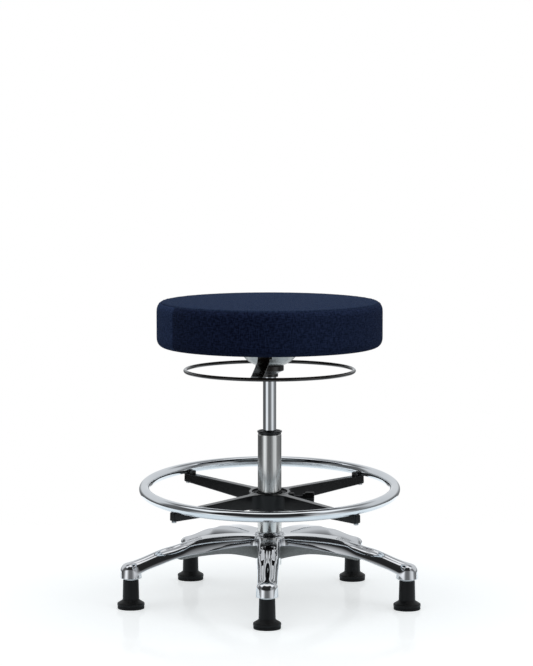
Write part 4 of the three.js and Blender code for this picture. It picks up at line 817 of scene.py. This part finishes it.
# The seam draws the cloth in along a narrow line, and puckers it unevenly for some way beside it.
welt = WELT * bell(np.abs(rows - seam_at) - WELT_PLACE, WELT_WIDTH)
draw = SEAM_DRAW * bell(rows - seam_at, SEAM_WIDTH) - welt
seed = np.random.default_rng(4)
waves = np.arange(fine_segments // 2 + 1)
phase = np.exp(2j * np.pi * seed.random(len(waves)))
wave = np.fft.irfft(np.where((waves > PUCKERS[0]) & (waves < PUCKERS[1]), phase, 0), fine_segments)
wave /= np.abs(wave).max()
pucker = PUCKER * bell(rows - seam_at, PUCKER_WIDTH)[:, None] * wave
gap = (azimuth - BOXING_SEAM + 90) % 180 - 90
on_side = step(rows, 40, 60) * (1 - step(rows, seam_at - 4, seam_at - 1))
upright = on_side[:, None] * UPRIGHT_DRAW * bell(gap * math.radians(1) * SEAT_RADIUS, UPRIGHT_WIDTH)
inward = draw[:, None] + pucker + upright
out = r[:, None] + finer(outward, rows) - inward * normal[:, :1]
up = z[:, None] + finer(upward, rows) - inward * normal[:, 1:]
points = np.stack([out * np.cos(turn), out * np.sin(turn), up], -1)
under = np.stack([cavity[:, :1] * np.cos(turn), cavity[:, :1] * np.sin(turn), cavity[:, 1:] + 0 * turn], -1)
points = np.concatenate([under[::-1], points])
count = len(points)
quads = grid(count, fine_segments, False, True)
caps = [np.arange(fine_segments)[None, ::-1], np.arange(fine_segments)[None] + (count - 1) * fine_segments]
boxing = np.repeat(np.r_[np.ones(len(cavity)), rows < seam_at], fine_segments)
# Where the boxing is painted paler: the left length all over, and the other towards the right as painted
# light.
left_length = (azimuth < BOXING_SEAM) | (azimuth > BOXING_SEAM + 180)
paler = np.tile(np.where(left_length, 1.0, PALE_SHARE * step(azimuth, *PALE_STARTS)), count)
# Cut pattern in metres: flat over the top panel, and unrolled along the boxing.
column = np.tile([0, 1, 1, 0], len(quads)) + np.repeat(np.tile(np.arange(fine_segments), count - 1), 4)
row = np.repeat(np.repeat(np.arange(count - 1), fine_segments), 4) + np.tile([0, 0, 1, 1], len(quads))
full = np.concatenate([np.zeros(len(cavity)), rows])
side_uv = np.stack([column * (2 * np.pi / fine_segments) * SEAT_RADIUS / 1000, full[row] / 1000], -1)
flat = points.reshape(-1, 3)[quads.ravel()][:, :2] / 1000
is_top = np.r_[np.zeros(len(cavity)), rows[:-1] >= seam_at - 0.01] > 0
is_top = np.repeat(np.repeat(is_top, fine_segments), 4)
cap_uv = [points.reshape(-1, 3)[cap.ravel()][:, :2] / 1000 for cap in caps]
uvs = np.concatenate([np.where(is_top[:, None], flat, side_uv)] + cap_uv)
cushion = make("seat_cushion", [(points.reshape(-1, 3), [quads] + caps)], "seat", "navy_fabric", navy_cloth,
               ["seat_cover", "foam_pad"], 60.0, uvs, boxing=boxing, paler=paler)

dust_cloth, shader, s = material("dust_cloth", {"Specular IOR Level": 0.1, "Sheen Weight": 0.1})
fibre = s.noise(s.place(), 900.0, 4.0)
fibre.between(0.3, 0.7).mix((0.006, 0.006, 0.007, 1), (0.022, 0.022, 0.024, 1)).into(shader, "Base Color")
(0.85 + 0.1 * fibre).into(shader, "Roughness")
fibre.bump(0.0002).into(shader, "Normal")

DUST_RADIUS, DUST_HOLE, DUST_FOOT, DUST_TOP = 205.5, 72.0, 541.0, heights("dust_cover")[1]
sheet = revolve(rounded([(DUST_HOLE, DUST_FOOT, 0.2), (DUST_RADIUS, DUST_FOOT, 0.3),
                         (DUST_RADIUS, DUST_TOP, 0.3), (DUST_HOLE, DUST_TOP, 0.2)], 3), 128)
make("dust_cover_fine", [sheet], "seat", "black_fabric", dust_cloth, ["dust_cover"])

# Foot ring: a bent and welded chrome tube, screwed down on the ends of a black cast spider that a
# split plastic sleeve lines. The ring leans a little, front down, on the sleeve's clearance.

# Heights of the ring's unit are from the middle of its hub, in its own level frame.
UNIT_Z, LEAN = 213.5, math.radians(4.3)
RING_RADIUS, RING_TUBE, RING_RISE = 264.0, 11.1, 27.5
SPIDER_ARMS, SPIDER_AZIMUTH, SPIDER_HUB, SPIDER_WALL, SPIDER_HALF = 4, -48.0, 43.5, 6.0, 21.0
SPIDER_ARM_HALF, SPIDER_ROOT, SPIDER_TIP, SPIDER_FILLET = 8.25, 38.0, 270.0, 24.0
SPIDER_TOP, TOP_FALL, SPIDER_FOOT, FOOT_RISE = 20.6, 4.5, -10.0, 8.1  # at the root, and out to the tip
SPIDER_CORNER, SPIDER_DRAFT, TIP_ROUND = 2.0, 0.05, 4.0
LUG_LOW, LUG_HIGH = (243.5, -5.0, 14.5), (252.5, 5.0, 24.5)  # corners of the lug inside the ring


def leaned(points):
    """Points of the foot ring's own level frame, leaned about X and lifted to its height."""
    x, y, z = points.T
    cos, sin = math.cos(LEAN), math.sin(LEAN)
    return np.stack([x, y * cos - z * sin, y * sin + z * cos + UNIT_Z], -1)


points, faces = ring(RING_RADIUS, RING_TUBE, 288, 40)
make("foot_ring_fine", [(leaned(points + np.array([0, 0, RING_RISE])), faces)], "ring_unit", "chrome",
     chrome, ["foot_ring"])

black_casting, shader, s = material(
    "black_casting",
    {"Coat Weight": 1.0, "Coat IOR": 1.25, "Coat Roughness": 0.15, "Specular IOR Level": 0.2})
peel = s.noise(s.place(), 900.0, 2.0)
rub = s.noise(s.place(), 45.0, 4.0)
tone = rub.between(0.3, 0.75).mix((0.0022, 0.0022, 0.0026, 1), (0.0056, 0.0055, 0.0062, 1))
tone.into(shader, "Base Color")
(0.24 + 0.12 * rub).into(shader, "Roughness")
peel.bump(0.00012).into(shader, "Normal")


def spider_arm():
    """A rounded box section carried along the arm: a fillet that touches hub and arm flares it into
    the hub, it grows shallower to the tip, and its last millimetres round off in plan."""
    centre = math.sqrt((SPIDER_HUB + SPIDER_FILLET) ** 2 - (SPIDER_ARM_HALF + SPIDER_FILLET) ** 2)
    start = centre * SPIDER_HUB / (SPIDER_HUB + SPIDER_FILLET)
    shoulder = SPIDER_TIP - TIP_ROUND
    flared, straight = np.linspace(start, centre, 22)[:-1], np.linspace(centre, shoulder, 28)[:-1]
    tip = shoulder + TIP_ROUND * np.sin(np.radians(np.linspace(0, 90, 9)))
    x = np.concatenate([flared, straight, tip])
    flare = np.clip(centre - x, 0, None)
    half = SPIDER_ARM_HALF + SPIDER_FILLET - np.sqrt(SPIDER_FILLET**2 - flare**2)
    end = np.clip(x - shoulder, 0, TIP_ROUND)
    trim = TIP_ROUND - np.sqrt(np.maximum(TIP_ROUND**2 - end**2, 0))
    share = (x - SPIDER_ROOT) / (SPIDER_TIP - SPIDER_ROOT)
    top, foot = SPIDER_TOP - TOP_FALL * share, SPIDER_FOOT + FOOT_RISE * share
    y, n = section(half - trim, (top - foot) / 2 - trim / 2, SPIDER_CORNER)
    y = y * (1 - SPIDER_DRAFT * n / ((top - foot) / 2)[:, None])
    return capped(np.stack([x[:, None] + 0 * y, y, n + ((top + foot) / 2)[:, None]], -1))


def block(low, high, corner=1.2):
    """A block with rounded upright and level edges: a rounded section carried along x, drawn in at
    both ends."""
    (x0, y0, z0), (x1, y1, z1) = low, high
    a = np.radians(np.linspace(0, 90, 5))
    x = np.concatenate([x0 + corner * (1 - np.cos(a)), x1 - corner * (1 - np.cos(a[::-1]))])
    trim = np.concatenate([corner * (1 - np.sin(a)), corner * (1 - np.sin(a[::-1]))])
    y, n = section((y1 - y0) / 2 - trim, (z1 - z0) / 2 - trim, corner)
    return capped(np.stack([x[:, None] + 0 * y, y + (y0 + y1) / 2, n + (z0 + z1) / 2], -1))


CLAMP_AZIMUTH, CLAMP_Z = 87.0, 8.5
POCKET_RADIUS, POCKET_END = 6.3, 43.3  # of the room the clamp's pad moves in


def pocketed_hub(segments=128, cells=4):
    """The spider's hub, with a round pocket for the clamp's pad sunk in its inner wall: the wall
    leaves a square window of cells round the clamp's line, which is filled up to the pocket."""
    bore = SPIDER_HUB - SPIDER_WALL
    skin = rounded([(bore, -SPIDER_HALF, 0.8), (SPIDER_HUB, -SPIDER_HALF, 1.5),
                    (SPIDER_HUB, SPIDER_HALF, 1.5), (bore, SPIDER_HALF, 0.8)])
    window = np.arange(-cells, cells + 1) * 2 * np.pi / segments
    levels = np.concatenate([skin[:1, 1], CLAMP_Z + bore * window, skin[-1:, 1]])
    wall = revolve(np.stack([np.full(len(levels), bore), levels], -1), segments)[0]
    kept = np.ones((segments, len(levels) - 1), bool)
    kept[np.arange(-cells, cells), 1:-1] = False
    side, full = window[:-1], np.full(2 * cells, window[-1])
    across, up = np.concatenate([side, full, -side, -full]), np.concatenate([-full, side, full, -side])
    phi = np.arctan2(up, across)
    y, z = POCKET_RADIUS * np.cos(phi), POCKET_RADIUS * np.sin(phi) + CLAMP_Z
    pocket = np.concatenate([
        np.stack([bore * np.cos(across), bore * np.sin(across), CLAMP_Z + bore * up], -1),
        np.stack([np.sqrt(bore**2 - y**2), y, z], -1),
        np.stack([np.full(len(y), POCKET_END), y, z], -1)])
    shells = [(revolve(skin, segments)[0], [grid(segments, len(skin), True)]),
              (wall, [grid(segments, len(levels), True)[kept.ravel()]]),
              (pocket, [grid(3, len(y), False, True), np.arange(len(y))[None] + 2 * len(y)])]
    return [(leaned(turned(points, CLAMP_AZIMUTH - 90)), faces) for points, faces in shells]


LOBES, LOBE_START, KNOB_RADIUS = 6, 9.0, 12.0
CORE_RADIUS = 3.0  # of a stud's middle, which its thread doesn't reach


def clamp_lathe(profile, segments=64, lobe_depth=0.0, pitch=0.0, depth=0.0):
    """A profile of (radius, distance from the axis) turned round the clamp screw's line. lobe_depth
    scallops the wide part, and depth cuts a thread of that pitch."""
    points, faces = revolve(profile, segments)
    angle, far = np.arctan2(points[:, 1], points[:, 0]), points[:, 2]
    radius = np.hypot(points[:, 0], points[:, 1])
    wide = np.clip((radius - LOBE_START) / (KNOB_RADIUS - LOBE_START), 0, 1)
    radius = radius - lobe_depth * wide * (0.5 - 0.5 * np.cos(LOBES * angle))
    if pitch:
        groove = 0.5 - 0.5 * np.cos(2 * np.pi * far / pitch - angle)
        radius = radius - depth * (radius > CORE_RADIUS) * groove
    points = np.stack([far, radius * np.cos(angle), radius * np.sin(angle) + CLAMP_Z], -1)
    return leaned(turned(points, CLAMP_AZIMUTH - 90)), faces


CLAMP_BORE, CLAMP_BOSS, CLAMP_BOSS_START, CLAMP_BOSS_END = 4.4, 9.0, 41.5, 52.0
ROOM_RADIUS, ROOM_END = POCKET_RADIUS + 0.1, POCKET_END + 0.3  # the boss keeps clear of the pocket

shells = pocketed_hub()
for n in range(SPIDER_ARMS):
    for points, faces in (spider_arm(), block(LUG_LOW, LUG_HIGH)):
        shells.append((leaned(turned(points, SPIDER_AZIMUTH - 90 + 360 / SPIDER_ARMS * n)), faces))
shells.append(clamp_lathe(rounded([
    (CLAMP_BORE, ROOM_END, 0), (ROOM_RADIUS, ROOM_END, 0), (ROOM_RADIUS, CLAMP_BOSS_START, 0),
    (CLAMP_BOSS, CLAMP_BOSS_START, 0), (CLAMP_BOSS, CLAMP_BOSS_END, 1.4),
    (CLAMP_BORE, CLAMP_BOSS_END, 0.6)])))
make("ring_spider_fine", shells, "ring_unit", "black_casting", black_casting, ["ring_spider"], 38.0)

SLEEVE_BORE, SLEEVE_RADIUS, SLEEVE_TOP, SLIT_HALF = 26.95, 37.2, 18.0, 2.7  # SLIT_HALF in degrees
slit = math.radians(SLIT_HALF)
angle = np.linspace(slit, 2 * np.pi - slit, 120)[:, None] + math.radians(CLAMP_AZIMUTH - 90 + 180)
r, z = liner(SLEEVE_BORE, SLEEVE_RADIUS, -SPIDER_HALF, SLEEVE_TOP, (33.4, 31.2), 0.4, 0.6, 1.0).T
points, faces = capped(np.stack([r * np.cos(angle), r * np.sin(angle), z + 0 * angle], -1))
make("column_sleeve_fine", [(leaned(points), faces)], "ring_sleeve", "black_plastic", bushing_black,
     ["column_sleeve"])
for n in range(1, SPIDER_ARMS + 1):
    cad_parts[f"ring_screw_{n}"].material_slots[0].material = bright_steel
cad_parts["pressure_pad"].material_slots[0].material = bushing_black

# Clamp: a six-lobed black plastic knob moulded on a threaded stud, which goes through the hub's
# boss and presses a pad on the sleeve.

# Distances along the clamp's line are from the column's axis.
COLLAR_START, COLLAR_RADIUS, KNOB_START, KNOB_END, KNOB_BORE, KNOB_BORE_END = 70.0, 8.0, 75.0, 94.0, 4.2, 74.0
LOBE_DEPTH, STUD_RADIUS, STUD_START, STUD_END, THREAD, THREAD_DEPTH = 1.1, 4.0, 40.9, 73.5, 1.25, 0.45

black_stud, shader, s = material("black_stud", {"Metallic": 1.0})
s.noise(s.place(), 500.0, 2.0).mix((0.05, 0.05, 0.055, 1), (0.10, 0.10, 0.11, 1)).into(shader, "Base Color")
(0.35 + 0.1 * s.noise(s.place(), 200.0, 2.0)).into(shader, "Roughness")

knob = rounded([
    (KNOB_BORE, COLLAR_START, 0.3), (COLLAR_RADIUS, COLLAR_START, 0.8), (COLLAR_RADIUS, KNOB_START, 0.6),
    (KNOB_RADIUS, KNOB_START, 1.5), (KNOB_RADIUS, KNOB_END, 2.0), (0, KNOB_END, 0),
    (0, KNOB_BORE_END, 0), (KNOB_BORE, KNOB_BORE_END, 0)])
make("clamp_knob_fine", [clamp_lathe(knob, 120, LOBE_DEPTH)], "clamp_screw", "black_plastic", black_nylon,
     ["clamp_knob"])
far = np.linspace(STUD_START, STUD_END, 140)
thread = np.stack([np.full(len(far), STUD_RADIUS), far], -1)
thread = np.concatenate([[(0, STUD_START)], thread, [(0, STUD_END)]])
make("clamp_stud_fine", [clamp_lathe(thread, 32, pitch=THREAD, depth=THREAD_DEPTH)], "clamp_screw", "steel",
     black_stud, ["clamp_stud"])

# Studio: a white floor and background, a large soft light overhead, and a white tent that is open
# on the camera's side, which the polished metal mirrors. The camera stands where it was fitted.

# Brightness of the tent's walls by azimuth, in three heights from the floor up.
LOWER_WALL = [(-180, 0.95), (-174, 0.92), (-168, 0.25), (-150, 0.12), (-103, 0.08), (-88, 0.12), (-76, 0.17),
              (-64, 0.54), (-54, 1.0), (-42, 1.0), (-32, 0.65), (-22, 0.23), (-12, 0.16), (12, 0.15),
              (28, 0.34), (38, 0.67), (48, 0.70), (59, 0.83), (71, 0.42), (84, 0.20), (114, 0.19),
              (135, 0.11), (168, 0.25), (174, 0.92), (180, 0.95)]
MIDDLE_WALL = [(-180, 0.68), (-114, 0.62), (-104, 0.16), (-80, 0.08), (-60, 0.14), (-50, 0.02), (30, 0.02),
               (42, 0.40), (58, 0.28), (80, 0.10), (94, 0.40), (102, 0.60), (180, 0.68)]
UPPER_WALL = [(-180, 0.48), (-160, 0.40), (-140, 0.20), (-112, 0.06), (-106, 1.0), (-62, 1.0), (-57, 0.03),
              (52, 0.02), (57, 1.0), (98, 1.0), (106, 0.30), (150, 0.20), (170, 0.46), (180, 0.48)]
WALL_TINT = (0.96, 0.99, 1.02)

scene = bpy.context.scene
world = bpy.data.worlds.new("studio")
scene.world = world
world.use_nodes = True
s = Socket(world.node_tree)
direction = s.node("ShaderNodeTexCoord", output="Generated")
x, y, z = (direction.part(axis) for axis in "XYZ")
turn = s.math("ARCTAN2", x, 0 - y) / (2 * math.pi) + 0.5  # 0.5 towards the camera, more to the right
lower, middle, upper = (
    s.node("ShaderNodeValToRGB",
           {"stops": [((a + 180) / 360, (*(v * tint for tint in WALL_TINT), 1)) for a, v in wall]}, {0: turn})
    for wall in (LOWER_WALL, MIDDLE_WALL, UPPER_WALL))
walls = z.between(0.62, 0.74).mix(z.between(-0.02, 0.20).mix(lower, middle), upper)
mirrored = z.between(0.92, 0.96).mix(walls, (0.97, 0.98, 1.0, 1))
camera_ray, glossy_ray, clear_ray = (
    s.node("ShaderNodeLightPath", output=f"Is {kind} Ray") for kind in ("Camera", "Glossy", "Transmission"))
ambient = glossy_ray.mix((0.30, 0.305, 0.315, 1), mirrored)
seen = s.math("MAXIMUM", camera_ray, clear_ray).mix(ambient, (1, 1, 1, 1))
seen.into(world.node_tree.nodes["Background"], "Color")

# The floor is lit white and fades into the background's white. What the chrome sees of it is a painted
# glow, with painted shade near the stool and a painted shadow under it, darkest there.
floor_mesh = bpy.data.meshes.new("floor")
floor_mesh.from_pydata([(-1, -1, 0), (1, -1, 0), (1, 1, 0), (-1, 1, 0)], [], [(0, 1, 2, 3)])
floor = bpy.data.objects.new("floor", floor_mesh)
scene.collection.objects.link(floor)
floor_white, shader, s = material("floor_white", {"Roughness": 0.06, "IOR": 1.05, "Emission Strength": 1.0})
where = s.place()
far = s.node("ShaderNodeVectorMath", {"operation": "LENGTH"}, {0: where}, "Value")
# under: a painted shadow of the base and spider on the floor, which only the chrome sees.
away, under = far.between(0.40, 0.92), far.between(0.06, 0.26)
back = where.part("Y").between(-0.95, 0.25)
camera_ray, glossy_ray, clear_ray = (
    s.node("ShaderNodeLightPath", output=f"Is {kind} Ray") for kind in ("Camera", "Glossy", "Transmission"))
# Painted shade: near the stool the glow is dimmer, and black under it.
shaded_near_glow = under.mix((0.0, 0.0, 0.0, 1), back.mix((0.14, 0.20, 0.25, 1), (0.36, 0.41, 0.44, 1)))
glow = away.mix(shaded_near_glow, back.mix((0.46, 0.56, 0.62, 1), (0.92, 0.97, 1.0, 1)))
away.mix((0.76, 0.80, 0.82, 1), (0.0, 0.0, 0.0, 1)).into(shader, "Base Color")
direct = s.math("MAXIMUM", camera_ray, clear_ray)
shine = away.mix((0.50, 0.505, 0.50, 1), (1, 1, 1, 1))
direct.mix(glossy_ray.mix((0, 0, 0, 1), glow), shine).into(shader, "Emission Color")
floor_mesh.materials.append(floor_white)

# Lamps: place about the axis and size in metres, and power. Both are aimed at the column.
LAMPS = (("overhead", (0.0, -0.25, 2.5), 2.6, 28.0), ("fill", (1.9, -2.2, 1.5), 1.2, 5.0))
AIM_HEIGHT = 0.35
for name, place, size, power in LAMPS:
    lamp = bpy.data.lights.new(name, "AREA")
    lamp.energy, lamp.size = power, size
    holder = bpy.data.objects.new(name, lamp)
    scene.collection.objects.link(holder)
    holder.location = AXIS + np.array(place)
    aim = AXIS + np.array([0, 0, AIM_HEIGHT]) - np.array(holder.location)
    pitch, yaw = math.atan2(math.hypot(aim[0], aim[1]), -aim[2]), math.atan2(-aim[0], aim[1])
    holder.rotation_euler = (pitch, 0, yaw)
    holder.visible_glossy = False

CAMERA_PLACE, CAMERA_DOWN, LENS = (-0.00656, -6.1, 1.1587), 5.523, 157.84  # metres, degrees, mm
camera = bpy.data.cameras.new("camera")
camera.lens, camera.sensor_width, camera.clip_end = LENS, 36.0, 60.0
viewer = bpy.data.objects.new("camera", camera)
scene.collection.objects.link(viewer)
viewer.location = AXIS + np.array(CAMERA_PLACE)
viewer.rotation_euler = (math.radians(90 - CAMERA_DOWN), 0, 0)
scene.camera = viewer
scene.view_settings.view_transform = "Standard"
